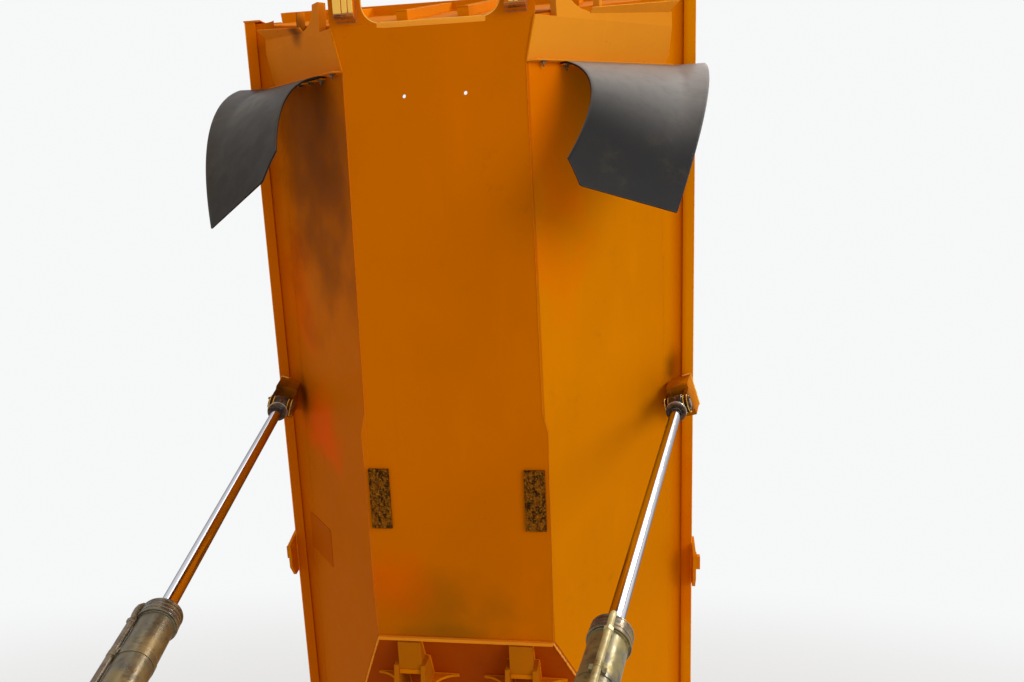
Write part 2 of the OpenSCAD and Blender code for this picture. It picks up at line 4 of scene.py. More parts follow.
import bmesh
import bpy
from mathutils import Matrix, Vector


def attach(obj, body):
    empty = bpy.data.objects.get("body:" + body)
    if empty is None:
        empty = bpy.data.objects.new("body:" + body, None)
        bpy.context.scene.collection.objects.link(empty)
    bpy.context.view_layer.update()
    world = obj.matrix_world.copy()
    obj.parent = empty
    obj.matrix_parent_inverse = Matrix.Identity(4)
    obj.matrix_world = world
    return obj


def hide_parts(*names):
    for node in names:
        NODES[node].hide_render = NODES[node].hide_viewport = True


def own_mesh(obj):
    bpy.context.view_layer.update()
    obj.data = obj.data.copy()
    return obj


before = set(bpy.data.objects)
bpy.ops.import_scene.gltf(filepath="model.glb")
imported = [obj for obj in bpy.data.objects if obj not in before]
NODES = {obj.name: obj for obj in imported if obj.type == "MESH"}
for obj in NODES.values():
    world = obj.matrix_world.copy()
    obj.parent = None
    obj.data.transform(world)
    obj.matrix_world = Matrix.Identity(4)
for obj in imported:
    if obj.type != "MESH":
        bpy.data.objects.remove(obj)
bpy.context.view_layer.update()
SIDES = (("left", 1), ("right", -1))
rng = random.Random(7)

# Sizes of the body in metres, in its lowered frame: X across, -Y ahead, Z up, origin on the hinge
DUMP = math.radians(70)
HINGE_TO_KINK = 0.400
HINGE_DROP = 0.030
FLOOR_W = 1.050
FLOOR_FRONT_W = 0.952
FLOOR_L = 3.468
FOLD_H = 0.915
SIDE_H = 1.380
HALF_W = 1.400
RAIL_W = 0.070
WALL_T = 0.010
RAIL_DROP = 0.050
RAIL_H = 0.120
TAIL_L = 1.290
TAIL_A = math.radians(24)
FRONT_A = math.radians(14)
BAND_S = FLOOR_L - 0.227
BAND_W = 1.157
BAND_RISE = 0.047
BAND_L_IN = 0.216
BAND_L_OUT = 0.298
BAND_PROUD = 0.045

RAIL_X = HALF_W - RAIL_W
WALL_X = RAIL_X - WALL_T
KINK_Y = -HINGE_TO_KINK
FRONT_Y = KINK_Y - FLOOR_L
SLOPE_A = math.atan(FOLD_H / (WALL_X - FLOOR_W / 2))
TAPER = math.atan((FLOOR_W - FLOOR_FRONT_W) / 2 / FLOOR_L)
FOLD_Z = HINGE_DROP + FOLD_H
RAIL_Z = FOLD_Z - RAIL_DROP
TOP_Z = HINGE_DROP + SIDE_H
BAND_TURN = math.atan(BAND_RISE / BAND_W)
GROUND_Z = -1.35

TIP = Matrix.Rotation(-DUMP, 4, "X")


def move(x, y, z):
    return Matrix.Translation((x, y, z))


def turn(deg, axis):
    return Matrix.Rotation(math.radians(deg), 4, axis)


def mirror(sign):
    return Matrix.Diagonal((sign, 1, 1, 1))


def circle(r, n, start=0.0):
    """n points round the axis, as pairs."""
    return [(r * math.cos(start + 2 * math.pi * i / n), r * math.sin(start + 2 * math.pi * i / n))
            for i in range(n)]


def level(z, *points):
    """Pairs x, y at one height."""
    return [(x, y, z) for x, y in points]


SLOPE = (TIP @ move(FLOOR_W / 2, KINK_Y, HINGE_DROP)
         @ Matrix.Rotation(-TAPER, 4, "Z") @ Matrix.Rotation(-SLOPE_A, 4, "Y"))
BAND = SLOPE @ move(0, -BAND_S, 0) @ Matrix.Rotation(-BAND_TURN, 4, "Z")
FRONT = TIP @ move(0, FRONT_Y, HINGE_DROP) @ Matrix.Rotation(FRONT_A, 4, "X")


def on_body(u, s, n):
    """Point u across, s ahead of the kink and n above the floor, in the row frame."""
    return TIP @ Vector((u, KINK_Y - s, HINGE_DROP + n))


# ---- camera
CAMERA_PLACE = (0.9072, -4.7754, 1.4652)
# pitch, roll and yaw in degrees
CAMERA_TURN = (8.594, 0.469, 7.801)
# focal length as a share of the sensor's width
CAMERA_FOCUS = 763.01 / 1024


def make_camera():
    pitch, roll, yaw = (math.radians(a) for a in CAMERA_TURN)
    right = Vector((math.cos(yaw), math.sin(yaw), 0))
    ahead = Vector((-math.sin(yaw) * math.cos(pitch), math.cos(yaw) * math.cos(pitch), math.sin(pitch)))
    up = right.cross(ahead)
    x = math.cos(roll) * right + math.sin(roll) * up
    y = math.cos(roll) * up - math.sin(roll) * right
    data = bpy.data.cameras.new("camera")
    data.sensor_width = 36
    data.lens = CAMERA_FOCUS * 36
    data.clip_end = 400
    cam = bpy.data.objects.new("camera", data)
    bpy.context.scene.collection.objects.link(cam)
    m = Matrix((x, y, -ahead)).transposed().to_4x4()
    m.translation = CAMERA_PLACE
    cam.matrix_world = m
    bpy.context.scene.camera = cam


make_camera()
bpy.context.scene.view_settings.view_transform = "Standard"


# ---- shader helpers
def rgb(*parts):
    """sRGB 0 to 255 as linear RGBA."""
    return tuple(c / 12.92 / 255 if c < 10.3 else ((c / 255 + 0.055) / 1.055) ** 2.4 for c in parts) + (1.0,)


class Tree:
    """A small writer of node trees."""

    def __init__(self, owner):
        owner.use_nodes = True
        self.t = owner.node_tree

    def node(self, kind, **values):
        """A new node, with plain values for some of its inputs."""
        n = self.t.nodes.new("ShaderNode" + kind)
        for key, value in values.items():
            n.inputs[key.replace("_", " ")].default_value = value
        return n

    def link(self, a, b):
        self.t.links.new(a, b)

    def put(self, value, socket):
        if isinstance(value, bpy.types.NodeSocket):
            self.link(value, socket)
        else:
            socket.default_value = value

    def math(self, op, a, b=0.5):
        n = self.node("Math")
        n.operation = op
        self.put(a, n.inputs[0])
        self.put(b, n.inputs[1])
        return n.outputs[0]

    def times(self, a, b):
        return self.math("MULTIPLY", a, b)

    def vector(self, op, a, b=(0, 0, 0)):
        n = self.node("VectorMath")
        n.operation = op
        self.link(a, n.inputs[0])
        self.put(b, n.inputs[1])
        return n.outputs["Vector" if op == "SUBTRACT" else "Value"]

    def span(self, value, lo, hi, to_lo=0.0, to_hi=1.0):
        n = self.node("MapRange", From_Min=lo, From_Max=hi, To_Min=to_lo, To_Max=to_hi)
        n.interpolation_type = "SMOOTHSTEP"
        self.put(value, n.inputs["Value"])
        return n.outputs["Result"]

    def show(self, out, share, a, b):
        """Replaces the tree's old output by a mix of two shader nodes."""
        mix = self.node("MixShader")
        for value, socket in zip((share, a.outputs[0], b.outputs[0]), mix.inputs):
            self.put(value, socket)
        self.link(mix.outputs[0], self.node(out).inputs["Surface"])


class Shader(Tree):
    """A surface material in object coordinates."""

    def __init__(self, name):
        self.m = bpy.data.materials.new(name)
        super().__init__(self.m)
        self.bsdf = next(n for n in self.t.nodes if n.type == "BSDF_PRINCIPLED")
        self.texco = self.node("TexCoord")
        self.body = self.mapping(self.texco.outputs["Object"], Rotation=(DUMP, 0, 0))

    def mapping(self, vec, **values):
        n = self.node("Mapping", **values)
        self.link(vec, n.inputs["Vector"])
        return n.outputs["Vector"]

    def noise(self, scale, detail=3.0, rough=0.55, stretch=None):
        n = self.node("TexNoise", Scale=scale, Detail=detail, Roughness=rough)
        self.link(self.mapping(self.body, Scale=stretch) if stretch else self.body, n.inputs["Vector"])
        return n.outputs["Fac"]

    def mix(self, fac, a, b):
        n = self.node("Mix")
        n.data_type = "RGBA"
        for value, key in ((fac, 0), (a, 6), (b, 7)):
            self.put(value, n.inputs[key])
        return n.outputs[2]

    def dot(self, output, axis):
        """The object's coordinates or normal, measured along an axis."""
        return self.vector("DOT_PRODUCT", self.texco.outputs[output], axis)

    def spot(self, place, radius, soft=1.0, squash=(1, 1, 1)):
        """1 near a place of the row frame, fading to 0 at the radius, with a ragged rim."""
        away = self.vector("SUBTRACT", self.texco.outputs["Object"], place)
        apart = self.vector("LENGTH", self.mapping(self.mapping(away, Rotation=(DUMP, 0, 0)), Scale=squash))
        ragged = self.math("ADD", apart, self.span(self.noise(3.0), 0.2, 0.8, -0.3 * radius, 0.3 * radius))
        return self.span(ragged, radius * (1 - soft), radius, 1.0, 0.0)

    def edges(self, radius):
        """Share of edge: how far the rounded normal leaves the true one."""
        bevel = self.node("Bevel", Radius=radius)
        bevel.samples = 3
        true = self.node("NewGeometry").outputs["Normal"]
        return self.span(self.vector("DOT_PRODUCT", bevel.outputs["Normal"], true), 0.98, 0.80)

    def bump(self, height, strength, distance):
        n = self.node("Bump", Strength=strength, Distance=distance)
        self.link(height, n.inputs["Height"])
        return n.outputs["Normal"]

    def set(self, **kw):
        for key, value in kw.items():
            self.put(value, self.bsdf.inputs[key.replace("_", " ")])
        return self.m


PAINT = (0.70, 0.20, 0.0)
RUST = rgb(74, 36, 16)
FOLD_SHADE = (0.56, 0.09, 0.0, 1)


def shade(tint, k, pale=0.0):
    """A linear colour, darker or lighter by k and mixed with white by pale."""
    return tuple(min(1.0, c * k) * (1 - pale) + pale for c in tint) + (1.0,)


def paint(name, tint=PAINT, inside=None, spots=(), dirt=0.35, worn=0.5, fold=None, metal=0.12):
    """Weathered orange paint. inside is the direction in which a plate faces the load and is scoured.
    fold gives three distances from the middle plane between which painted shade darkens the corner of slope
    and rail."""
    s = Shader(name)
    color = s.mix(s.span(s.noise(0.8, 3.0, 0.5), 0.3, 0.7), shade(tint, 1.05), shade(tint, 0.95))
    faded = s.span(s.noise(2.3, 4.0, 0.6, (1.6, 0.5, 1.6)), 0.5, 0.8, 0.0, 0.4)
    color = s.mix(faded, color, shade(tint, 1.12))
    streak = s.span(s.noise(1.0, 5.0, 0.6, (26, 0.9, 26)), 0.58, 0.85, 0.0, 0.3 * dirt)
    color = s.mix(streak, color, shade(tint, 0.5))
    grime = s.times(s.span(s.noise(7.0, 6.0, 0.7), 0.54, 0.78), s.span(s.noise(1.3, 2.0), 0.45, 0.7))
    color = s.mix(s.times(grime, dirt), color, rgb(96, 62, 30))
    for place, radius, hue, share, squash in spots:
        color = s.mix(s.times(s.spot(place, radius, 0.95, squash), share), color, hue)
    # painted shade: darker, redder colour in the corner where the slope runs into the rail
    if fold:
        apart = s.math("ABSOLUTE", s.dot("Object", (1, 0, 0)))
        fold_shade_share = s.times(s.span(apart, fold[0], fold[1]), s.span(apart, fold[1], fold[2], 1.0, 0.0))
        color = s.mix(s.times(fold_shade_share, 0.65), color, FOLD_SHADE)
    edge = s.edges(0.006)
    chips = s.span(s.noise(38.0, 4.0, 0.75), 0.62, 0.70)
    bare = s.times(edge, s.span(s.noise(16.0, 4.0, 0.7), 0.5, 0.62))
    # painted highlight: every edge lighter and a little paler; the rust mixed in below on worn edges is real
    # wear
    color = s.mix(s.times(edge, 0.4), color, shade(tint, 1.25, 0.03))
    color = s.mix(s.times(bare, worn), color, RUST)
    fleck = s.times(chips, s.span(s.noise(3.1, 3.0), 0.56, 0.68))
    color = s.mix(s.times(fleck, worn), color, RUST)
    rough = s.span(s.noise(12.0, 4.0, 0.6), 0.2, 0.8, 0.40, 0.58)
    peel = s.times(s.noise(95.0, 2.0, 0.5), 0.1)
    height = s.math("SUBTRACT", peel, s.times(s.math("ADD", bare, fleck), 0.12))
    if inside is not None:
        facing = s.span(s.dot("Normal", inside), 0.55, 0.75)
        scour = s.noise(1.0, 6.0, 0.65, (14, 1.2, 14))
        steel = s.mix(s.span(scour, 0.35, 0.65), rgb(92, 84, 76), rgb(150, 140, 128))
        steel = s.mix(s.span(s.noise(2.6, 6.0, 0.7), 0.46, 0.62), steel, rgb(104, 62, 34))
        steel = s.mix(s.span(s.noise(5.5, 5.0, 0.7), 0.55, 0.66), steel, rgb(146, 122, 92))
        kept = s.span(s.noise(1.7, 6.0, 0.7, (1.4, 0.7, 1.4)), 0.56, 0.62)
        steel = s.mix(s.times(kept, 0.8), steel, rgb(176, 98, 26))
        color = s.mix(facing, color, steel)
        rough = s.math("ADD", rough, s.times(facing, 0.12))
        height = s.math("ADD", height, s.times(s.times(facing, scour), 0.5))
    return s.set(Base_Color=color, Metallic=metal, Roughness=rough, Specular_IOR_Level=0.0,
                 Normal=s.bump(height, 0.35, 0.006))


def chrome(eyes):
    """Hard chrome, covered in old grease near the eyes."""
    s = Shader("hard_chrome")
    film = s.span(s.noise(2.0, 4.0, 0.6), 0.5, 0.8)
    color = s.mix(s.times(film, 0.25), rgb(226, 226, 230), rgb(170, 150, 128))
    rough = s.span(s.noise(60.0, 3.0, 0.6), 0.3, 0.8, 0.06, 0.16)
    grease = s.math("MAXIMUM", *(s.spot(p, 0.13, 0.25) for p in eyes))
    color = s.mix(grease, color, rgb(36, 27, 20))
    rough = s.math("ADD", rough, s.times(grease, 0.3))
    return s.set(Base_Color=color, Metallic=s.span(grease, 0.0, 1.0, 1.0, 0.3), Roughness=rough,
                 Specular_IOR_Level=0.3, Specular_Tint=(0.30, 0.30, 0.34, 1),
                 Normal=s.bump(s.noise(220.0, 2.0), 0.05, 0.001))


def oily_steel(name, base, stain, dark, rough=0.32, metal=0.35, sheen=0.5):
    """Thin cylinder paint, stained by oil and rubbed to the metal."""
    s = Shader(name)
    color = s.mix(s.span(s.noise(5.0, 5.0, 0.65), 0.4, 0.62), base, stain)
    color = s.mix(s.span(s.noise(14.0, 5.0, 0.7), 0.5, 0.66, 0.0, 0.8), color, dark)
    color = s.mix(s.times(s.edges(0.004), 0.5), color, rgb(176, 168, 150))
    r = s.span(s.noise(20.0, 4.0, 0.6), 0.25, 0.75, rough - 0.08, rough + 0.14)
    return s.set(Base_Color=color, Metallic=metal, Roughness=r, Specular_IOR_Level=sheen,
                 Normal=s.bump(s.noise(70.0, 4.0, 0.6), 0.25, 0.002))


def rubber(name, low, high, sheen, dusty, sky_highlight):
    """Woven rubber sheet. dusty is the share of dust all over; the last argument is the share of a pale
    painted highlight, standing for the sky's reflection, on what faces the sky.
    """
    s = Shader(name)
    color = s.mix(s.span(s.noise(2.6, 3.0, 0.5), 0.3, 0.7), low, high)
    dust = s.times(s.span(s.noise(5.0, 6.0, 0.7), 0.5, 0.72), s.span(s.noise(1.7, 2.0), 0.42, 0.6))
    color = s.mix(s.times(dust, dusty), color, rgb(92, 80, 50))
    skyward = s.span(s.dot("Normal", (0, 0, 1)), 0.15, 0.8)
    painted_sky_highlight = s.times(skyward, s.span(s.noise(14.0, 4.0, 0.6), 0.2, 0.6, 0.8, 1.0))
    # painted highlight: pale colour on the sky-facing parts of the sheet
    color = s.mix(s.times(painted_sky_highlight, sky_highlight), color, rgb(160, 152, 146))
    color = s.mix(s.times(s.edges(0.006), 0.35), color, rgb(120, 114, 108))
    weave = s.times(s.noise(160.0, 2.0, 0.5), 0.2)
    height = s.math("ADD", weave, s.times(s.noise(1.0, 3.0, 0.5, (70, 3, 70)), 0.35))
    r = s.span(s.noise(9.0, 3.0), 0.3, 0.7, 0.44, 0.50)
    return s.set(Base_Color=color, Metallic=0.0, Roughness=r, Specular_IOR_Level=sheen,
                 Normal=s.bump(height, 0.25, 0.003))


def worn_pad():
    s = Shader("worn_pad")
    color = s.mix(s.span(s.noise(44.0, 6.0, 0.8, (1, 0.6, 1)), 0.42, 0.6), rgb(38, 25, 6), rgb(140, 80, 10))
    color = s.mix(s.span(s.noise(90.0, 4.0, 0.7), 0.54, 0.64), color, rgb(168, 104, 20))
    return s.set(Base_Color=color, Roughness=0.75, Specular_IOR_Level=0.04,
                 Normal=s.bump(s.noise(60.0, 6.0, 0.7), 0.8, 0.006))


def greasy():
    s = Shader("greasy_steel")
    color = s.mix(s.span(s.noise(26.0, 5.0, 0.7), 0.42, 0.62), rgb(44, 34, 26), rgb(104, 72, 38))
    color = s.mix(s.times(s.edges(0.003), 0.6), color, rgb(170, 130, 76))
    r = s.span(s.noise(30.0, 3.0), 0.3, 0.7, 0.22, 0.5)
    return s.set(Base_Color=color, Metallic=0.3, Roughness=r, Specular_IOR_Level=0.6,
                 Normal=s.bump(s.noise(80.0, 4.0, 0.6), 0.5, 0.002))


SLOPE_OUT = {1: (SLOPE.to_3x3() @ Vector((0, 0, -1))).normalized()}
SLOPE_OUT[-1] = Vector((-SLOPE_OUT[1].x, SLOPE_OUT[1].y, SLOPE_OUT[1].z))
INTO = (TIP.to_3x3() @ Vector((0, 0, 1))).normalized()
ASTERN = (FRONT.to_3x3() @ Vector((0, 1, 0))).normalized()

EYE_LOWERED = Vector((HALF_W - 0.116, KINK_Y - 1.272, FOLD_Z - 0.325))
EYE = TIP @ EYE_LOWERED
EYES = (EYE, mirror(-1) @ EYE)
# distances from the middle plane of the painted shade where the slope meets the rail
RAIL_FOLD = (RAIL_X - 0.10, RAIL_X - 0.005, RAIL_X + 0.035)

OLIVE = rgb(134, 84, 10)
RED_ORANGE = (0.86, 0.11, 0.0, 1.0)
BROWN = rgb(92, 44, 8)
# painted shadow of the hoist bracket on the slope
BRACKET_SHADOW = rgb(78, 44, 4)
BLACK_GREASE_AND_SHADE = rgb(30, 20, 12)


def on_slope(sign, x, s):
    """Point x up the slope and s ahead of the kink, in the row frame."""
    return mirror(sign) @ SLOPE @ Vector((x, -s, 0))


EVEN = (1, 1, 1)
FLOOR_SPOTS = (
    (on_body(-0.16, 0.20, 0), 0.50, OLIVE, 0.45, (0.8, 1.6, 1)),
    (on_body(-0.42, 0.34, 0), 0.34, RED_ORANGE, 0.45, (1.2, 1.0, 1)),
    (on_body(-0.10, 0.03, 0), 0.36, OLIVE, 0.50, (0.7, 4.0, 1)),
)
# the two slopes are one paint: the lighter, yellower tint of the +X side and the darker, redder one of the -X
# side are painted light and shade
SLOPE_TINT = {1: (0.69, 0.208, 0.0), -1: (0.64, 0.145, 0.0)}
SLOPE_SPOTS = {
    # a redder patch at the upper inner corner, painted shade beside the flap; then painted shadow of the
    # bracket
    1: ((on_slope(1, 0.14, 2.85), 0.62, (0.88, 0.15, 0.0, 1.0), 0.62, (1.3, 0.55, 1.3)),
        (on_body(1.27, 1.45, 0.88), 0.20, BRACKET_SHADOW, 0.80, (1.9, 0.8, 1))),
    # two red-orange blotches of the paint itself, painted shadow of the bracket, and brown at the top that is
    # partly dirt, partly painted shadow of the flap
    -1: ((on_body(-1.03, 1.13, 0.60), 0.55, RED_ORANGE, 1.0, (1.0, 1.45, 1)),
         (on_body(-1.14, 2.0, 0.74), 0.42, RED_ORANGE, 0.50, (1.3, 0.6, 1)),
         (on_body(-1.20, 1.27, 0.80), 0.20, BRACKET_SHADOW, 0.80, (1.7, 0.8, 1)),
         (on_slope(-1, 0.55, 2.85), 0.95, BROWN, 0.62, (1.0, 0.75, 1))),
}
# the two bands are one paint: the lighter +X tint and the darker, redder -X tint are painted light and shade
BAND_TINT = {1: (0.80, 0.285, 0.018), -1: (0.76, 0.21, 0.008)}
BAND_SPOTS = {1: (), -1: ((mirror(-1) @ BAND @ Vector((0.535, -0.29, -0.045)), 0.12, BROWN, 0.8, EVEN),)}
# painted shadow in the dark gap of the front wall between ear and rib
RECESS_SHADOW = (Vector((0.57, -1.2, 3.7)), 0.35, rgb(110, 38, 0), 0.8, EVEN)
RAIL_SPOT = (on_body(1.36, 0.2, 0.9), 1.3, (0.70, 0.13, 0.0, 1), 0.8, EVEN)
# black grease round each eye, spread far enough to be also painted shadow on the bracket, widest on the -X
# side
GREASE_AND_SHADOW = [(place, radius, BLACK_GREASE_AND_SHADE, 0.95, EVEN) for place, radius in zip(EYES, (0.30, 0.42))]
M = {
    "paint": paint("orange_paint"),
    "floor": paint("orange_floor", (0.625, 0.148, 0.0), tuple(INTO), FLOOR_SPOTS, dirt=0.2, worn=0.25),
    # the two rails are one paint: the lighter +X tint and the darker, redder -X tint are painted light and
    # shade
    "rail_left": paint("orange_rail_left", (0.74, 0.235, 0.0), None, [RAIL_SPOT], 0.3, 0.4, RAIL_FOLD),
    "rail_right": paint("orange_rail_right", (0.62, 0.13, 0.0), dirt=0.3, worn=0.4),
    # a darker, redder copy of the paint: painted shade of the tail floor
    "tail": paint("orange_tail_shaded", (0.42, 0.062, 0.0), tuple(INTO), dirt=0.4),
    "front": paint("orange_front", (0.72, 0.19, 0.0), tuple(ASTERN), (RECESS_SHADOW,), dirt=0.3),
    # a lighter copy of the paint: painted highlight for lit lips, edges and beads
    "lip": paint("orange_lip_highlight", (0.95, 0.34, 0.03), dirt=0.3, worn=0.6, metal=0.0),
    # a lighter copy of the paint: painted highlight of lit rims
    "edge": paint("orange_edge_highlight", (0.98, 0.52, 0.09), dirt=0.2, worn=0.3, metal=0.0),
    # a lighter copy of the paint: painted highlight of the lit kink bar
    "bar": paint("orange_bar_highlight", (0.86, 0.27, 0.012), dirt=0.3, worn=0.3, metal=0.0),
    # a darker copy of the paint: painted shade of the arms under the tail
    "arm": paint("orange_arm_shaded", (0.50, 0.138, 0.002), dirt=0.4, worn=0.6),
    "bracket": paint("orange_bracket", (0.60, 0.175, 0.0), None, GREASE_AND_SHADOW, dirt=0.5, worn=0.8),
    "chrome": chrome(EYES),
    # the two barrels are one paint: the darker copy on the -X side is painted shade
    "barrel_left": oily_steel("barrel_paint_left", rgb(112, 102, 66), rgb(148, 128, 58), rgb(66, 56, 44)),
    "barrel_right": oily_steel("barrel_paint_right", rgb(92, 82, 60), rgb(118, 98, 54), rgb(58, 50, 38)),
    "gland": oily_steel("gland_steel", rgb(96, 88, 72), rgb(150, 124, 66), rgb(48, 42, 36), 0.28, 0.5),
    # the two pipes are one paint: the pale +X copy is painted light, the dark -X copy painted shade
    "pipe_left": oily_steel("pipe_paint_left", rgb(200, 184, 126), rgb(168, 142, 80), rgb(118, 98, 58),
                            0.36, 0.1),
    "pipe_right": oily_steel("pipe_paint_right", rgb(118, 102, 78), rgb(92, 76, 54), rgb(70, 56, 40),
                             0.36, 0.1),
    # the last number is the share of the painted sky highlight, strong on the +X flap
    "rubber_left": rubber("flap_rubber_left", rgb(15, 13, 15), rgb(20, 18, 18), 0.20, 0.2, 0.88),
    "rubber_right": rubber("flap_rubber_right", rgb(30, 21, 11), rgb(46, 35, 18), 0.07, 0.5, 0.2),
    "pad": worn_pad(),
    "grease": greasy(),
    "bright": oily_steel("bright_steel", rgb(214, 208, 196), rgb(190, 180, 160), rgb(150, 138, 116),
                         0.3, 0.4),
    "bolt": oily_steel("bolt_steel", rgb(92, 76, 58), rgb(70, 52, 38), rgb(140, 126, 106), 0.4, 0.6),
    "weld": paint("orange_weld", (0.66, 0.18, 0.0), dirt=0.6, worn=0.7, metal=0.0),
    "doubler": paint("orange_doubler", (0.55, 0.107, 0.0), dirt=0.3, worn=0.4),
    # scuffed paint, lighter than the paint: partly wear, partly painted highlight
    "scuffed_and_lit": paint("orange_scuffed", (0.98, 0.56, 0.11), dirt=0.5, worn=1.0),
    "rusty": oily_steel("rusty_steel", rgb(176, 92, 20), rgb(140, 66, 12), rgb(90, 46, 12), 0.6, 0.0, 0.04),
}
for side, sign in SIDES:
    away = tuple(-SLOPE_OUT[sign])
    M["slope_" + side] = paint("orange_slope_" + side, SLOPE_TINT[sign], away, SLOPE_SPOTS[sign],
                               dirt=0.22, worn=0.25, fold=RAIL_FOLD)
    M["band_" + side] = paint("orange_band_" + side, BAND_TINT[sign], None, BAND_SPOTS[sign],
                              dirt=0.25, worn=0.4)
    M["wall_" + side] = paint("orange_wall_" + side, inside=(-sign, 0, 0), dirt=0.35)


# ---- CAD nodes
UNCUT = ("rod", "barrel", "gland", "pressure", "mud_flap", "floor_panel", "tail_floor", "side_slope")
SHARP = 35


def dress(node, material):
    """A material for a CAD node, and rolled edges unless its edges stay as they are."""
    o = NODES[node]
    if not o.material_slots:
        o.data.materials.append(material)
    for slot in o.material_slots:
        slot.material = material
    if not node.startswith(UNCUT):
        w = o.modifiers.new("weld", "WELD")
        w.merge_threshold = 0.0002
        b = o.modifiers.new("bevel", "BEVEL")
        b.width = 0.002
        b.segments = 2
        b.limit_method = "ANGLE"
        b.angle_limit = math.radians(SHARP)
        b.harden_normals = True


def material_of(node):
    side = "left" if node.endswith("left") else "right"
    for start, key in (("floor_panel", "floor"), ("tail_floor", "tail"), ("front_wall", "front"),
                       ("rod", "chrome"), ("barrel", "barrel_" + side), ("gland", "gland"),
                       ("pressure", "pipe_" + side), ("mud", "rubber_" + side), ("wear_pad", "pad"),
                       ("side_slope", "slope_" + side), ("front_band", "band_" + side),
                       ("side_wall", "wall_" + side), ("front_ear", "floor"), ("lower_rail", "rail_" + side),
                       ("cylinder_bracket", "bracket"), ("kink_bar", "bar"), ("hinge_arm", "arm")):
        if node.startswith(start):
            return M[key]
    return M["paint"]


for node in NODES:
    dress(node, material_of(node))


# ---- mesh helpers
BODY = "tipping_body"
# radii of the weld beads, and the longer ripple of the seams between plates
FINE, PLAIN, THICK = 0.004, 0.0045, 0.005
RIPPLE = 0.014


class Build:
    """Collects closed shapes, given in a local frame, in one mesh of the row frame."""

    def __init__(self):
        self.bm = bmesh.new()

    def add(self, m, verts, faces):
        vs = [self.bm.verts.new(m @ Vector(v)) for v in verts]
        for f in faces:
            self.bm.faces.new([vs[i] for i in f])

    def loft(self, m, rings):
        """Rings of equal length, joined in order and capped at both ends."""
        n = len(rings[0])
        last = (len(rings) - 1) * n
        faces = []
        for j in range(0, last, n):
            for i in range(n):
                k = (i + 1) % n
                faces.append((j + i, j + k, j + n + k, j + n + i))
        faces.append(tuple(reversed(range(n))))
        faces.append(tuple(range(last, last + n)))
        self.add(m, [p for r in rings for p in r], faces)

    def box(self, m, x0, x1, y0, y1, z0, z1, cut=0.002):
        """A box with cut corners and edges."""
        c = min(cut, (x1 - x0) / 3, (y1 - y0) / 3)
        d = min(c, (z1 - z0) / 3)
        ring = [(x0 + c, y0), (x1 - c, y0), (x1, y0 + c), (x1, y1 - c),
                (x1 - c, y1), (x0 + c, y1), (x0, y1 - c), (x0, y0 + c)]
        cx, cy = (x0 + x1) / 2, (y0 + y1) / 2

        def at(z, k):
            fx, fy = 1 - k / (x1 - x0) * 2, 1 - k / (y1 - y0) * 2
            return [(cx + (x - cx) * fx, cy + (y - cy) * fy, z) for x, y in ring]

        self.loft(m, [at(z0, d), at(z0 + d, 0), at(z1 - d, 0), at(z1, d)])

    def lathe(self, m, profile, seg=24):
        """Profile of radius and height, turned about Z and capped flat."""
        self.loft(m, [level(z, *circle(r, seg)) for r, z in profile])

    def ring(self, m, profile, seg=32):
        """A closed profile of radius and height, turned about Z, with a hole."""
        n = len(profile)
        faces = []
        for i in range(seg):
            a, b = i * n, (i + 1) % seg * n
            for j in range(n):
                k = (j + 1) % n
                faces.append((a + j, b + j, b + k, a + k))
        self.add(m, [(r * x, r * y, z) for x, y in circle(1, seg) for r, z in profile], faces)

    def tube(self, m, path, radius, seg=10, swell=None):
        """A round bar along a path; swell gives a factor for each point."""
        pts = [Vector(p) for p in path]
        swell = swell or [1] * len(pts)
        side = None
        rings = []
        for i, (p, k) in enumerate(zip(pts, swell)):
            t = (pts[min(i + 1, len(pts) - 1)] - pts[max(i - 1, 0)]).normalized()
            side = side or t.orthogonal().normalized()
            side = (side - t * side.dot(t)).normalized()
            up = t.cross(side)
            rings.append([p + radius * k * (x * side + y * up) for x, y in circle(1, seg)])
        self.loft(m, rings)

    def bead(self, m, path, radius, step=0.009):
        """A weld bead: a rippled bar laid along straight runs."""
        pts = []
        for a, b in zip(path, path[1:]):
            a, b = Vector(a), Vector(b)
            n = max(2, int((b - a).length / step))
            pts += [a.lerp(b, i / n) for i in range(n)]
        pts.append(Vector(path[-1]))
        swell = [1 + 0.16 * math.sin(i * 2.1) + 0.2 * rng.uniform(-1, 1) for i in range(len(pts))]
        swell[0] = swell[-1] = 0.4
        self.tube(m, pts, radius, 6, swell)

    def bolt(self, m, af=0.019, washer=True):
        """Hex head, af across the flats, seated at the frame's origin and pointing to +Z."""
        z = 0.0
        if washer:
            w = af * 1.02
            z = 0.003
            self.lathe(m, [(w * 0.96, 0), (w, 0.0006), (w, 0.0024), (w * 0.94, z)], 20)
        hexagon = circle(af / math.sqrt(3), 6, rng.uniform(0, 1))
        self.loft(m, [[(x * k, y * k, z + af * 0.62 * t) for x, y in hexagon]
                      for t, k in ((0, 0.96), (0.08, 1), (0.82, 1), (1, 0.86))])

    def done(self, name, material, slot="orange_paint", body=BODY, angle=SHARP):
        """Writes the mesh as one piece of a body, smooth up to an angle between faces."""
        bmesh.ops.recalc_face_normals(self.bm, faces=self.bm.faces)
        me = bpy.data.meshes.new(name)
        self.bm.to_mesh(me)
        self.bm.free()
        o = bpy.data.objects.new(name, me)
        bpy.context.scene.collection.objects.link(o)
        me.materials.append(material)
        me.shade_smooth()
        me.set_sharp_from_angle(angle=math.radians(angle))
        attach(o, body)
        return o


# ---- mud flaps
FLAP_T, FLAP_IN, FLAP_OVER = 0.010, 0.240, 0.050
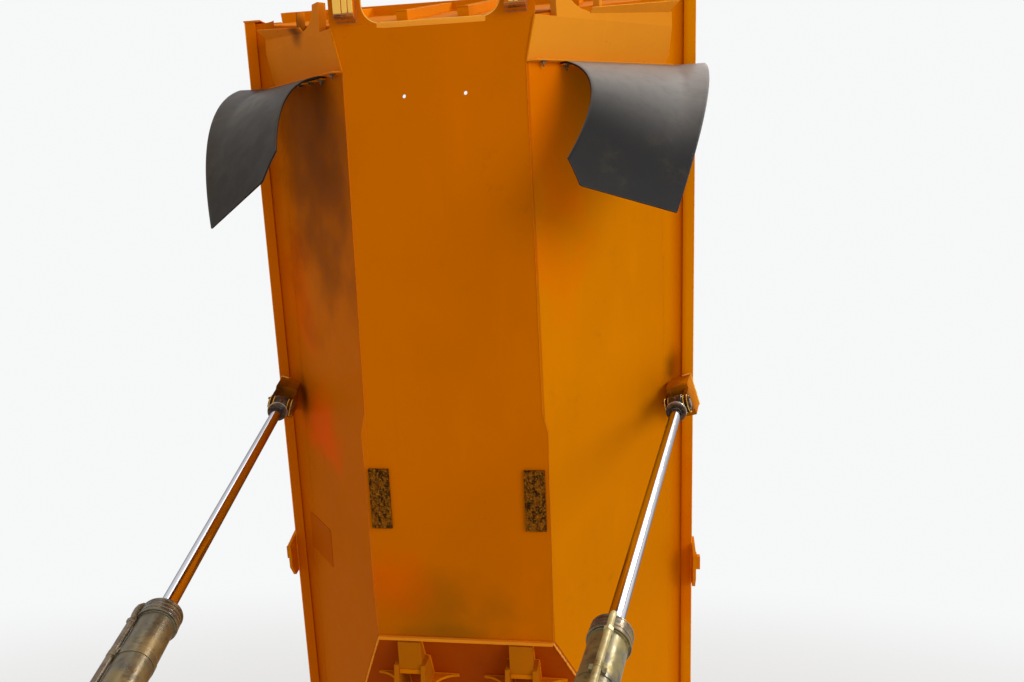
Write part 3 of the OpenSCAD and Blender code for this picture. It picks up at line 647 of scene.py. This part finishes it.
# shares of the width at which the slanted inner corner ends and the root leaves the band
FLAP_CUT, FLAP_FOLD = 0.2, 0.8
FLAP_ROOT = -0.0003 - FLAP_T
FLAP_OUT = BAND_W - 0.012
FLAP_L, FLAP_DROP = 0.775, 1.037
FLAP_COLS, FLAP_ROWS, FLAP_ROLL = 36, 44, 0.0015
# pull point and end of the inner edge, then of the outer one: shares of half the width across,
# of FLAP_L back and of FLAP_DROP down
FLAP_EDGES = {
    1: ((0.677, 0.129, 0.861), (0.4536, 0.761, 1.2006), (1.053, 0.108, 0.559), (0.8643, 1, 1)),
    -1: ((0.6386, 0.0426, 0.788), (0.48, 0.635, 1.292), (1.0586, 0.1265, 0.567), (0.8643, 1, 0.985)),
}


def flap_root(f, proud):
    g = min(f, FLAP_FOLD) / FLAP_FOLD
    a = BAND @ Vector((FLAP_IN + (FLAP_OUT - FLAP_IN) * g, -FLAP_ROOT, -proud))
    if f <= FLAP_FOLD:
        return a
    lowered = TIP.inverted() @ a
    b = TIP @ Vector((HALF_W + FLAP_OVER, lowered.y, RAIL_Z - 0.006 - proud))
    return a.lerp(b, (f - FLAP_FOLD) / (1 - FLAP_FOLD))


def flap_place(p):
    return TIP @ Vector((p[0] * HALF_W, KINK_Y - BAND_S + p[1] * FLAP_L, RAIL_Z - p[2] * FLAP_DROP))


def flap_point(sign, f, g):
    """f across from the inner edge, g down from the band's front; below 0 it is between band and strip."""
    if g < 0:
        return flap_root(f, BAND_PROUD + (BAND_PROUD - 0.004) * g)
    pull_in, end_in, pull_out, end_out = (flap_place(p) for p in FLAP_EDGES[sign])
    pull, end = pull_in.lerp(pull_out, f), end_in.lerp(end_out, f)
    t = g * (1 - 0.1 * max(0.0, 1 - f / FLAP_CUT))
    return flap_root(f, BAND_PROUD) * (1 - t) ** 2 + pull * 2 * t * (1 - t) + end * t * t


def mud_flap(side, sign):
    cols = FLAP_COLS
    downs = [-1, -0.5] + [j / FLAP_ROWS for j in range(FLAP_ROWS + 1)]
    back = [[flap_point(sign, i / cols, g) for i in range(cols + 1)] for g in downs]
    n, q = cols + 1, len(downs)
    # four layers of points: square edges, slightly rolled
    verts = []
    for inset, lift in ((FLAP_ROLL, 0.0), (0.0, FLAP_ROLL), (0.0, FLAP_T - FLAP_ROLL), (FLAP_ROLL, FLAP_T)):
        for j in range(q):
            for i in range(n):
                du = back[j][min(i + 1, cols)] - back[j][max(i - 1, 0)]
                dv = back[min(j + 1, q - 1)][i] - back[max(j - 1, 0)][i]
                p = back[j][i] + dv.cross(du).normalized() * lift
                if i in (0, cols):
                    p += (back[j][1 if i == 0 else cols - 1] - back[j][i]).normalized() * inset
                verts.append(p)
    size = n * q
    faces = []
    for j in range(q - 1):
        for i in range(cols):
            a = j * n + i
            b = 3 * size + a
            faces += [(a, a + 1, a + n + 1, a + n), (b, b + n, b + n + 1, b + 1)]
    rim = list(range(cols)) + [j * n + cols for j in range(q)]
    rim += [(q - 1) * n + i for i in range(cols - 1, -1, -1)] + [j * n for j in range(q - 2, 0, -1)]
    for low in (0, size, 2 * size):
        for a, b in zip(rim, rim[1:] + rim[:1]):
            faces.append((low + a, low + size + a, low + size + b, low + b))
    flap = Build()
    flap.add(mirror(sign), verts, faces)
    sheet = flap.done("mud_flap_sheet_" + side, M["rubber_" + side], "flap_rubber", angle=50)
    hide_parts("mud_flap_" + side)
    return sheet


for side, sign in SIDES:
    sheet = mud_flap(side, sign)
    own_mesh(sheet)


# ---- bolts and welds of the bands
STRIP_T = 0.006
BAND_BOLTS, FIRST_BOLT, BOLT_SPAN, BOLT_Z = 7, 0.10, BAND_W - 0.15, -0.022
for side, sign in SIDES:
    m = mirror(sign) @ BAND
    bolts = Build()
    for k in range(BAND_BOLTS):
        x = FIRST_BOLT + k * BOLT_SPAN / (BAND_BOLTS - 1)
        behind = (0.0006 - FLAP_ROOT + STRIP_T) if x > FLAP_IN else 0.0
        at = m @ move(x, behind, BOLT_Z) @ turn(-90, "X")
        bolts.bolt(at)
        if k < 2:
            bolts.lathe(at, [(0.005, 0.01), (0.005, 0.026), (0.004, 0.028)], 12)
    bolts.done("band_bolts_" + side, M["bolt"], "dark_steel")
    beads = Build()
    beads.bead(m, level(-0.001, (0.004, 0.001), (FLAP_IN - 0.01, 0.001)), PLAIN)
    beads.bead(m, [(0.0, 0.0, -0.003), (0.040, -BAND_L_IN, -BAND_PROUD * 0.93)], THICK)
    beads.bead(m, level(-0.001, (0.54, -BAND_L_IN - 0.04), (BAND_W, -BAND_L_OUT)), THICK)
    beads.bead(m, level(-0.001, (BAND_W + 0.001, -0.006), (BAND_W + 0.001, -BAND_L_OUT)), THICK)
    beads.done("band_welds_" + side, M["weld"])


# ---- welds of the shell
def edge_x(y):
    return FLOOR_W / 2 + (y - KINK_Y) * math.tan(TAPER)


def slope_x(y, z):
    return edge_x(y) + (z - HINGE_DROP) / math.tan(SLOPE_A)


def slope_z(y, x):
    return HINGE_DROP + (x - edge_x(y)) * math.tan(SLOPE_A)


def tail_z(y):
    return HINGE_DROP + (y - KINK_Y) * math.tan(TAIL_A)


def front_y(z):
    return FRONT_Y - (z - HINGE_DROP) * math.tan(FRONT_A)


TAIL_Y = KINK_Y + TAIL_L * math.cos(TAIL_A)
RAIL_END = front_y(RAIL_Z + RAIL_H)
POST_T, POST_W, POSTS, FIRST_POST = 0.045, 0.090, 5, 0.250
TAIL_DROP, TOP_RAIL_H = 0.250, 0.100
KINK_BAR_W, SEAM_R, FOLD_R, TAIL_FOLD_R = 0.020, 0.0036, 0.0022, 0.006
# just below the floor's outer face
UNDER = HINGE_DROP - 0.001
# distance ahead of the kink and width of the floor's margin
MARGIN = ((0.0, 0.003), (0.30, 0.012), (0.62, 0.018), (1.02, 0.021), (1.28, 0.028), (1.40, 0.001))


def run(a, b, n):
    """n + 1 points from a to b."""
    return [Vector(a).lerp(Vector(b), i / n) for i in range(n + 1)]


shell = Build()
x = edge_x(KINK_Y)
y = KINK_Y + KINK_BAR_W / 2 + 0.0008
shell.bead(TIP, level(UNDER, (-x, y), (x, y)), SEAM_R)
tail_folds = Build()
for side, sign in SIDES:
    m = mirror(sign) @ TIP
    folds = Build()
    along = [(edge_x(KINK_Y - s) + w, KINK_Y - s) for s, w in MARGIN + ((BAND_S, 0.001),)]
    folds.bead(m, level(UNDER, *along), FOLD_R, RIPPLE)
    folds.done("fold_weld_" + side, M["slope_left" if sign > 0 else "floor"])
    z = tail_z(TAIL_Y)
    tail_folds.bead(m, [(x + 0.001, KINK_Y, UNDER), (slope_x(TAIL_Y, z), TAIL_Y - 0.002, z - 0.001)],
                    TAIL_FOLD_R, RIPPLE)
    step = (TAIL_Y - 2 * TAIL_DROP - POST_W - (FRONT_Y + FIRST_POST)) / (POSTS - 1)
    near, far = RAIL_X + 0.001, RAIL_X + POST_T
    for z in (RAIL_Z + RAIL_H, TOP_Z - TOP_RAIL_H):
        for k in range(POSTS):
            y0 = FRONT_Y + FIRST_POST + k * step - POST_W / 2
            y1 = y0 + POST_W
            shell.bead(m, level(z, (near, y0), (far, y0), (far, y1), (near, y1)), PLAIN)
    end = RAIL_END + 0.001
    shell.bead(m, [(RAIL_X - 0.03, end, RAIL_Z), (HALF_W - 0.001, end, RAIL_Z - 0.001),
                   (HALF_W + 0.001, end, RAIL_Z + RAIL_H)], FINE)
shell.done("shell_welds", M["weld"])
# the tail's fold beads in the lighter lip paint: painted highlight
tail_folds.done("tail_fold_welds", M["lip"])


def fillet_section(y):
    """The slope running smoothly into the rail's underside at y: outer face, then the same 4 mm deeper."""
    z = RAIL_Z + 0.012
    corner = slope_x(y, z)
    a, b, c = (corner - 0.05, slope_z(y, corner - 0.05) - 0.001), (corner, z), (RAIL_X - 0.001, z)
    outer = []
    for i in range(9):
        f = i / 8
        outer.append(tuple(p * (1 - f) ** 2 + q * 2 * f * (1 - f) + r * f * f for p, q, r in zip(a, b, c)))
    return [(x, y, z) for x, z in outer] + [(x, y, z + 0.004) for x, z in outer[::-1]]


def margin_section(s, w):
    """The floor plate's wider margin, s ahead of the kink and w wide."""
    y = KINK_Y - s
    a, b, low = edge_x(y) - 0.001, edge_x(y) + w, HINGE_DROP - 0.0008
    return [(a, y, low), (b, y, low), (b, y, slope_z(y, b) + 0.002), (a, y, HINGE_DROP + 0.002)]


for side, sign in SIDES:
    m = mirror(sign) @ TIP
    fillet = Build()
    fillet.loft(m, [fillet_section(RAIL_END + 0.012 + (TAIL_Y - 0.03 - RAIL_END) * i / 24)
                    for i in range(25)])
    fillet.done("rail_fillet_" + side, M["slope_" + side], angle=50)
    margin = Build()
    margin.loft(m, [margin_section(s, w) for s, w in MARGIN])
    margin.done("floor_margin_" + side, M["floor"])
    # outer edge of the rail: a thin bar in the lighter lip paint, a painted highlight where the edge catches
    # the light
    edge = Build()
    x, z = HALF_W - 0.0022, RAIL_Z + 0.0022
    edge.tube(m, run((x, RAIL_END + 0.010, z), (x, TAIL_Y - 0.03, z), 24), SEAM_R, 8)
    edge.done("rail_edge_" + side, M["lip"])
    # the floor plate flares out to the band's inner edge
    flare = Build()
    tip = TIP.inverted() @ (BAND @ Vector((BAND_PROUD / math.tan(SLOPE_A), -BAND_L_IN, -BAND_PROUD)))
    root = KINK_Y - BAND_S
    corners = [(edge_x(root) + 0.003, root), (tip.x, tip.y), (tip.x, FRONT_Y),
               (edge_x(FRONT_Y) - 0.001, FRONT_Y), (edge_x(root) - 0.001, root)]
    flare.loft(m, [level(z, *corners) for z in (HINGE_DROP - 0.0006, HINGE_DROP + 0.003)])
    flare.done("floor_flare_" + side, M["floor"])

# rolled edge and lip round the cut-out between the ears, both in lighter paint: painted highlight of the lit
# rim
CUTOUT_W, CUTOUT_R, EAR_L = 0.720, 0.098, 0.190
rim = Build()
arc = [(CUTOUT_W / 2 - CUTOUT_R + CUTOUT_R * math.sin(a), FRONT_Y - CUTOUT_R + CUTOUT_R * math.cos(a))
       for a in (math.radians(7.5 * i) for i in range(13))]
path = level(HINGE_DROP + 0.002, (CUTOUT_W / 2, FRONT_Y - EAR_L + 0.002), *arc[::-1])
rim.tube(TIP, path + [(-x, y, z) for x, y, z in path[::-1]], 0.003)
x, y, z = CUTOUT_W / 2 - CUTOUT_R, FRONT_Y - 0.001, HINGE_DROP + 0.001
rim.tube(TIP, run((-x, y, z), (x, y, z), 8), SEAM_R, 8)
rim.done("cutout_rim", M["edge"])
lip = Build()
reach = CUTOUT_W / 2 - CUTOUT_R * 0.8
profile = [(-0.002, 0.007), (-0.003, -0.001), (0.001, -0.004), (0.010, -0.004), (0.020, -0.002),
           (0.026, 0.0005), (0.026, 0.003)]
lip.loft(TIP, [[(x * reach, FRONT_Y + y, HINGE_DROP + (z if z > 0 else z * k)) for y, z in profile]
               for x, k in ((-1, 0.1), (-0.86, 1), (0, 1), (0.86, 1), (1, 0.1))])
lip.done("cutout_lip", M["lip"], angle=60)


# ---- guide blocks
GUIDE_IN, GUIDE_W, GUIDE_T, GUIDE_SLANT = 0.026, 0.104, 0.050, 0.025
# start and width of the pale strips across each block: scuffed paint and painted highlight of the block's lit
# faces
GUIDE_STRIPS = {1: ((0.020, 0.024), (0.049, 0.020)), -1: ((0.0, 0.024), (0.029, 0.028), (0.062, 0.042))}
for side, sign in SIDES:
    m = mirror(sign) @ TIP @ move(CUTOUT_W / 2 + GUIDE_IN, FRONT_Y - EAR_L, HINGE_DROP)
    rear = EAR_L - 0.010 - GUIDE_SLANT
    shoe = Build()
    for x, w in GUIDE_STRIPS[sign]:
        shoe.box(m, x, x + w, 0.006, rear - 0.012, -GUIDE_T - 0.0035, -GUIDE_T + 0.001, 0.003)
    shoe.done("guide_shoe_" + side, M["scuffed_and_lit"])
    foot = Build()
    # offsets from the block's rear lower edge
    profile = [(-0.010, -0.002), (0.002, -0.003), (0.014, 0.010), (0.015, 0.014), (0.012, 0.014),
               (0.0, 0.002)]
    foot.loft(m, [[(x, rear + y, z - GUIDE_T) for y, z in profile]
                  for x in (-0.002, 0.018, 0.040, 0.066, 0.088, GUIDE_W + 0.002)])
    y = rear + 0.02
    foot.bead(m, level(-0.001, (0.0, 0.02), (0.0, y), (GUIDE_W, y), (GUIDE_W, 0.02)), THICK)
    foot.done("guide_foot_" + side, M["rusty"], "dark_steel")


# ---- hinge
SPAN, ARM_W, CHEEK_T, BORE_R, BOSS_R = 0.672, 0.137, 0.027, 0.040, 0.085
CHEEK_S, ARM_DROP, ARM_LIP = 0.159, 0.030, 0.063
GUSSET_S, GUSSET_R, GUSSET_T = 0.332, 0.150, 0.016
# outer and inner faces of an arm's two cheeks
OUT0, OUT1 = SPAN / 2 - ARM_W / 2 - CHEEK_T, SPAN / 2 + ARM_W / 2 + CHEEK_T
IN0, IN1 = OUT0 + CHEEK_T, OUT1 - CHEEK_T
NIPPLE_TURN = math.radians(20)


def under_tail(x, y, ahead=0.0, sink=0.001):
    """Point on the tail floor's outer face at y, moved ahead and into the plate."""
    return x, y - ahead, tail_z(y) - sink


hinge = Build()
greased = Build()
for side, sign in SIDES:
    m = mirror(sign) @ TIP
    y0, y1 = KINK_Y + 0.015, KINK_Y + CHEEK_S
    for x in (IN0, IN1):
        hinge.bead(m, [under_tail(x, y0), under_tail(x, y1)], THICK)
    hinge.bead(m, [under_tail(IN0, y0, 0.001, 0.002), under_tail(IN1, y0, 0.001, 0.002)], THICK)
    for x in (OUT0, IN0, IN1, OUT1):
        hinge.bead(m, [under_tail(x, y1), under_tail(x, BOSS_R)], THICK)
    for a, b in ((OUT0, IN0), (IN1, OUT1)):
        hinge.bead(m, [under_tail(a, y1, 0.001), under_tail(b, y1, 0.001)], FINE)
    lip_y = KINK_Y + CHEEK_S + ARM_LIP
    z = HINGE_DROP - ARM_DROP
    hinge.box(m, IN0 + 0.001, IN1 - 0.001, lip_y - 0.030, lip_y - 0.002, z - 0.006, z + 0.001, 0.003)
    gusset_y = KINK_Y + GUSSET_S
    top = tail_z(gusset_y) - 0.002
    for x, d in ((OUT1, 1), (OUT0, -1)):
        for y in (gusset_y, gusset_y + GUSSET_T):
            hinge.bead(m, [(x, y, top - GUSSET_R), (x, y, top), (x + d * (GUSSET_R + 0.010), y, top)], PLAIN)
    for x, way in ((OUT0, -90), (IN0, 90), (IN1, -90), (OUT1, 90)):
        at = m @ move(x, 0, 0) @ turn(way, "Y")
        hinge.ring(at, [(BORE_R + 0.001, -0.001), (0.062, -0.001), (0.062, 0.004), (0.060, 0.006),
                        (BORE_R + 0.003, 0.006), (BORE_R + 0.001, 0.004)])
        greased.ring(at, [(BORE_R + r, z) for r, z in ((0.0005, -0.004), (0.006, -0.004), (0.006, 0.0075),
                                                       (0.002, 0.009), (0.0005, 0.008))])
    for x in (OUT0 + CHEEK_T / 2, OUT1 - CHEEK_T / 2):
        y, z = (-BOSS_R * 0.995 * part(NIPPLE_TURN) for part in (math.cos, math.sin))
        greased.lathe(m @ move(x, y, z) @ turn(110, "X"), [
            (0.005, 0), (0.005, 0.006), (0.0028, 0.008), (0.0028, 0.012), (0.004, 0.014), (0.002, 0.018)], 10)
hinge.done("hinge_welds", M["weld"])
greased.done("hinge_bushes", M["grease"], "dark_steel")


# ---- wear pads and side lugs
PAD_S, PAD_L, PAD_W, PAD_T = 0.705, 0.363, 0.120, 0.015
for side, sign in SIDES:
    pad_y = KINK_Y - PAD_S - PAD_L
    m = mirror(sign) @ TIP @ move(edge_x(pad_y) - PAD_W, pad_y, HINGE_DROP)
    pad = Build()
    for y in (0.06, PAD_L / 2, PAD_L - 0.06):
        pad.lathe(m @ move(PAD_W / 2, y, -PAD_T) @ turn(180, "X"),
                  [(0.011, -0.001), (0.011, 0.0012), (0.009, 0.002), (0.005, 0.002)], 16)
    pad.done("pad_screws_" + side, M["pad"], "pad_rubber")
    lug = Build()
    m = mirror(sign) @ TIP @ move(HALF_W, KINK_Y - 0.250, RAIL_Z)
    lug.bead(m, [(0.001, 0.006, 0.04), (0.001, 0.021, 0.0), (0.001, 0.290, 0.0)], PLAIN)
    loop = [(0.021, y, z) for y, z in ((0.09, -0.06), (0.18, -0.06), (0.18, -0.02), (0.09, -0.02))]
    lug.bead(m, loop + loop[:1], FINE)
    lug.ring(m @ move(0.020, 0.080, -0.065) @ turn(90, "Y"),
             [(0.017, -0.002), (0.027, -0.002), (0.027, 0.003), (0.025, 0.005), (0.017, 0.005)], 24)
    lug.done("lug_welds_" + side, M["weld"])

# doubler plate on the right slope, beside the lug
patch = Build()
m = mirror(-1) @ SLOPE
x0, x1, y0, y1 = 0.74, 1.18, -0.40, -0.14
patch.box(m, x0, x1, y0, y1, -0.005, 0.001, 0.02)
patch.bead(m, level(-0.001, (x0, y0), (x1, y0), (x1, y1), (x0, y1), (x0, y0)), FINE)
patch.done("slope_doubler", M["doubler"])


# ---- hoist cylinders
FOOT = Vector((0.434, -3.912, -0.228))
BARREL_L, BARREL_R, GLAND_R, GLAND_L, ROD_R, EYE_R = 2.395, 0.0725, 0.080, 0.095, 0.0325, 0.060
PIPE_R, PIPE_TURN = 0.014, {1: 68, -1: 18}
CHEEK_X, CHEEK_W, CHEEK_R = 0.046, 0.022, 0.055
cyl_dir = (FOOT - EYE).normalized()
pin_axis = (TIP.to_3x3() @ (FOOT - EYE_LOWERED).normalized()).cross(cyl_dir).normalized()
CYL = Matrix((pin_axis, cyl_dir.cross(pin_axis), cyl_dir)).transposed().to_4x4()
CYL.translation = EYE
CYL_L = (FOOT - EYE).length
ROD_SHOW = CYL_L - BARREL_L


def collar(inner, outer, low, high):
    """A square section between two radii and two heights."""
    return [(inner, low), (outer, low), (outer, high), (inner, high)]


def eye_sleeve(proud):
    return [(EYE_R - 0.001, -0.039), (EYE_R + proud, -0.036), (EYE_R + proud, 0.036), (EYE_R - 0.001, 0.039)]


def rod_fittings(side, m):
    body = "hoist_rod_" + side
    eye = Build()
    eye.ring(m @ turn(90, "Y"), eye_sleeve(0.003), 48)
    eye.lathe(m, [(0.036, 0.050), (0.043, 0.062), (0.048, 0.078), (0.059, 0.090), (0.061, 0.094),
                  (0.061, 0.108), (0.057, 0.110), (0.040, 0.106), (0.0330, 0.104)], 40)
    for x in (-0.040, 0.040):
        eye.ring(m @ move(x, 0, 0) @ turn(90, "Y"), collar(0.033, 0.050, -0.003, 0.003), 36)
    eye.lathe(m @ turn(-60, "X") @ move(0, 0, EYE_R + 0.002), [
        (0.006, 0), (0.006, 0.006), (0.003, 0.008), (0.003, 0.013), (0.0045, 0.015), (0.002, 0.020)], 10)
    eye.done("rod_eye_fittings_" + side, M["grease"], "dark_steel", body)
    # pale steel rim at the top of the collar: the seal's edge, coloured pale enough to be partly painted
    # highlight
    rim = Build()
    rim.ring(m, [(0.0600, 0.0885), (0.0622, 0.0895), (0.0628, 0.0920), (0.0622, 0.0945),
                 (0.0600, 0.0955)], 40)
    rim.done("rod_eye_rim_" + side, M["bright"], "dark_steel", body)


# place, width and height of each ring round the gland
GLAND_RINGS = ((0.030, 0.008, 0.0016), (0.052, 0.005, 0.0012), (0.070, 0.010, 0.0020), (0.090, 0.012, 0.0032))
GLAND_BOLTS, GLAND_BOLT_R = 8, 0.0505


def gland_fittings(side, m):
    body = "hoist_barrel_" + side
    at = m @ move(0, 0, ROD_SHOW)
    rings = Build()
    for z, w, r in GLAND_RINGS:
        half = ((-0.002, -w / 2), (r * 0.6, -w / 2), (r, -w / 4))
        profile = [(GLAND_R + out, z + up) for out, up in half]
        profile += [(GLAND_R + out, z - up) for out, up in half[::-1]]
        rings.ring(at, profile, 48)
    rings.done("gland_rings_" + side, M["gland"], "cylinder_steel", body)
    dark = Build()
    dark.ring(at, [(ROD_R + out, z) for out, z in (
        (0.0008, 0.002), (0.0008, -0.008), (0.004, -0.010), (0.010, -0.005), (0.012, 0.002))], 40)
    for z in (0.042, 0.062, 0.081):
        dark.ring(at, collar(GLAND_R - 0.002, GLAND_R + 0.0006, z - 0.0022, z + 0.0022), 48)
    for x, y in circle(GLAND_BOLT_R, GLAND_BOLTS, math.radians(11)):
        dark.bolt(at @ move(x, y, 0.0005) @ turn(180, "X"), 0.008, False)
    dark.done("gland_seal_" + side, M["grease"], "dark_steel", body)


STRAPS, FIRST_STRAP, STRAP_PITCH, STRAP_OUT, STRAP_W = 4, 0.30, 0.55, 0.004, 0.012
FOOT_WELD, PIPE_END, NUT_R = 0.080, 0.250, 0.019


def strap_section(x):
    """Outline of a strap over the pipe at x, with a foot on the barrel at each side."""
    r = PIPE_R + 0.0015
    bow = [(x + r * math.cos(math.radians(a)), r * math.sin(math.radians(a))) for a in range(-90, 91, 15)]
    out = BARREL_R + STRAP_OUT
    foot = [(BARREL_R, -0.030), (out, -0.030), (out, -0.018)]
    return foot + bow + [(x, -y) for x, y in foot[::-1]]


def barrel_fittings(side, sign, m):
    body = "hoist_barrel_" + side
    seams = Build()
    for z in (ROD_SHOW + GLAND_L + 0.003, CYL_L - FOOT_WELD):
        loop = level(z, *circle(BARREL_R, 60))
        seams.bead(m, loop + loop[:1], FINE)
    seams.ring(m @ move(0, 0, CYL_L) @ turn(90, "Y"), eye_sleeve(0.0025), 40)
    pipe = m @ turn(PIPE_TURN[sign], "Z")
    x = BARREL_R + PIPE_R + 0.0003
    for z in [ROD_SHOW + FIRST_STRAP + STRAP_PITCH * k for k in range(STRAPS)]:
        seams.ring(m @ move(0, 0, z), collar(BARREL_R - 0.001, BARREL_R + 0.0025, -0.016, 0.016), 40)
        seams.loft(pipe, [level(z + dz, *strap_section(x)) for dz in (-STRAP_W, STRAP_W)])
    seams.done("barrel_fittings_" + side, M["barrel_" + side], "cylinder_steel", body)
    ends = Build()
    z0, z1 = ROD_SHOW + GLAND_L + 0.020, CYL_L - PIPE_END + 0.020
    upper = ((0, 0.012), (0, -0.010), (0.004, -0.035), (0.005, -0.060), (0.002, -0.080), (-0.006, -0.092),
             (-0.018, -0.098))
    lower = ((0, -0.012), (0, 0.012), (-0.004, 0.030), (-0.016, 0.042), (-0.030, 0.046))
    for z, bend in ((z0, upper), (z1, lower)):
        ends.tube(pipe, [(x + out, 0, z + up) for out, up in bend], 0.0125, 14)
    for z in (z0 - 0.004, z1 - 0.020):
        ends.loft(pipe, [[(x + px * k, py * k, z + dz) for px, py in circle(NUT_R, 6)]
                         for dz, k in ((0, 0.9), (0.002, 1), (0.018, 1), (0.020, 0.9))])
    ends.done("pipe_ends_" + side, M["pipe_" + side], "cylinder_steel", body)


# search for the block's seat along the cylinder's line, and how far the block reaches to both sides
SEAT_NEAR, SEAT_FAR, SEAT_STEP = -0.10, -0.43, 0.0015
BLOCK_LOW, BLOCK_HIGH = -0.130, 0.080


def bracket_fittings(side, m):
    """Weld round the block's seat, pale rims on the cheeks (worn paint and painted highlight), keeper plates
    on the pin.
    """
    outer = CHEEK_X + CHEEK_W
    to_body = TIP.inverted() @ CYL
    to_slope = SLOPE.inverted() @ CYL

    def seat(x, y):
        z = SEAT_NEAR
        while z > SEAT_FAR:
            p, q = to_body @ Vector((x, y, z)), to_slope @ Vector((x, y, z))
            if q.z > -0.001 or (p.x > RAIL_X and p.z > RAIL_Z - 0.001):
                return (x, y, z)
            z -= SEAT_STEP
        return None

    corners = [(-outer, BLOCK_LOW), (outer, BLOCK_LOW), (outer, BLOCK_HIGH), (-outer, BLOCK_HIGH),
               (-outer, BLOCK_LOW)]
    welds = Build()
    path = []
    for (ax, ay), (bx, by) in zip(corners, corners[1:]):
        for i in range(12):
            p = seat(ax + (bx - ax) * i / 12, ay + (by - ay) * i / 12)
            if p and (not path or (Vector(p) - Vector(path[-1])).length < 0.08):
                path.append(p)
    welds.bead(m, path, 0.006)
    r = CHEEK_R + 0.0005
    for x in (-outer, -CHEEK_X, CHEEK_X, outer):
        rim = [(x, r * math.sin(math.radians(a)), r * math.cos(math.radians(a))) for a in range(-96, 97, 8)]
        welds.tube(m, rim, 0.0028, 8)
    welds.done("bracket_welds_" + side, M["scuffed_and_lit"])
    keeper = Build()
    for x, way in ((outer, 90), (-outer, -90)):
        at = m @ move(x, 0, 0) @ turn(way, "Y")
        keeper.ring(at, [(0.0305, 0.0), (0.040, 0.0), (0.040, 0.004), (0.0305, 0.005)])
        keeper.lathe(at @ move(0, 0, 0.008),
                     [(0.029, -0.001), (0.029, 0.002), (0.026, 0.004), (0.006, 0.004)], 28)
        keeper.box(at, -0.018, 0.018, 0.026, 0.044, 0.0, 0.007, 0.003)
        keeper.bolt(at @ move(0, 0.036, 0.007), 0.013)
    keeper.done("pin_keepers_" + side, M["grease"], "dark_steel")


for side, sign in SIDES:
    m = mirror(sign) @ CYL
    rod_fittings(side, m)
    gland_fittings(side, m)
    barrel_fittings(side, sign, m)
    bracket_fittings(side, m)


# ---- front wall
FRONT_L = SIDE_H / math.cos(FRONT_A)
RIB_W, RIB_T, FRONT_RAIL_H = 0.060, 0.050, 0.110
# place across and height of the foot of each rib
RIBS = ((-0.700, 0.560), (-0.160, 0.060), (0.160, 0.060), (0.700, 0.560))
rail_foot = FRONT_L - FRONT_RAIL_H
front = Build()
for x, foot in RIBS:
    for edge in (x - RIB_W / 2, x + RIB_W / 2):
        front.bead(FRONT, [(edge, -0.001, foot), (edge, -0.001, rail_foot)], PLAIN, 0.012)
    front.bead(FRONT, level(foot - 0.001, (x - RIB_W / 2, -RIB_T), (x + RIB_W / 2, -RIB_T)), FINE)
front.bead(FRONT, level(rail_foot, (-WALL_X + 0.02, -0.001), (WALL_X - 0.02, -0.001)), THICK, RIPPLE)
front.done("front_welds", M["weld"])


# ---- stage and light
GROUND_R = 60.0
BACKDROP = (0.93, 0.935, 0.94, 1)


def make_ground():
    bm = bmesh.new()
    bm.faces.new([bm.verts.new(p) for p in level(GROUND_Z, *circle(GROUND_R, 96))])
    me = bpy.data.meshes.new("ground")
    bm.to_mesh(me)
    bm.free()
    ground = bpy.data.objects.new("ground", me)
    bpy.context.scene.collection.objects.link(ground)
    m = bpy.data.materials.new("ground")
    t = Tree(m)
    t.t.nodes.clear()
    # near the object the floor takes its shadow; further out it fades to the backdrop
    fade = t.span(t.vector("LENGTH", t.node("TexCoord").outputs["Object"]), 4.0, 14.0, 0.5, 1.0)
    share = t.times(t.node("LightPath").outputs["Is Camera Ray"], fade)
    t.show("OutputMaterial", share, t.node("BsdfDiffuse", Color=(0.62, 0.61, 0.60, 1)),
           t.node("Emission", Color=BACKDROP))
    me.materials.append(m)


def make_world():
    """Soft light from all round, and the backdrop's colour where it is seen or mirrored."""
    world = bpy.data.worlds.new("studio")
    bpy.context.scene.world = world
    t = Tree(world)
    t.t.nodes.clear()
    rays = t.node("LightPath").outputs
    seen = t.math("MAXIMUM", rays["Is Camera Ray"], rays["Is Glossy Ray"])
    seen = t.math("MAXIMUM", seen, rays["Is Transmission Ray"])
    t.show("OutputWorld", seen, t.node("Background", Color=(1.0, 0.99, 0.97, 1), Strength=0.42),
           t.node("Background", Color=BACKDROP))


def sun(name, direction, strength, angle, color=(1, 1, 1)):
    """A distant light. direction points to it, angle is its width in degrees."""
    data = bpy.data.lights.new(name, "SUN")
    data.energy = strength
    data.angle = math.radians(angle)
    data.color = color
    o = bpy.data.objects.new(name, data)
    bpy.context.scene.collection.objects.link(o)
    o.rotation_euler = Vector(direction).to_track_quat("Z", "Y").to_euler()


make_ground()
make_world()
sun("key", (0.78, -0.62, 0.10), 1.55, 40, (1.0, 0.97, 0.92))
sun("glint", (0.60, 0.46, 0.65), 1.6, 3, (1.0, 0.96, 0.88))
sun("sky", (0.15, 0.35, 0.92), 0.8, 60)
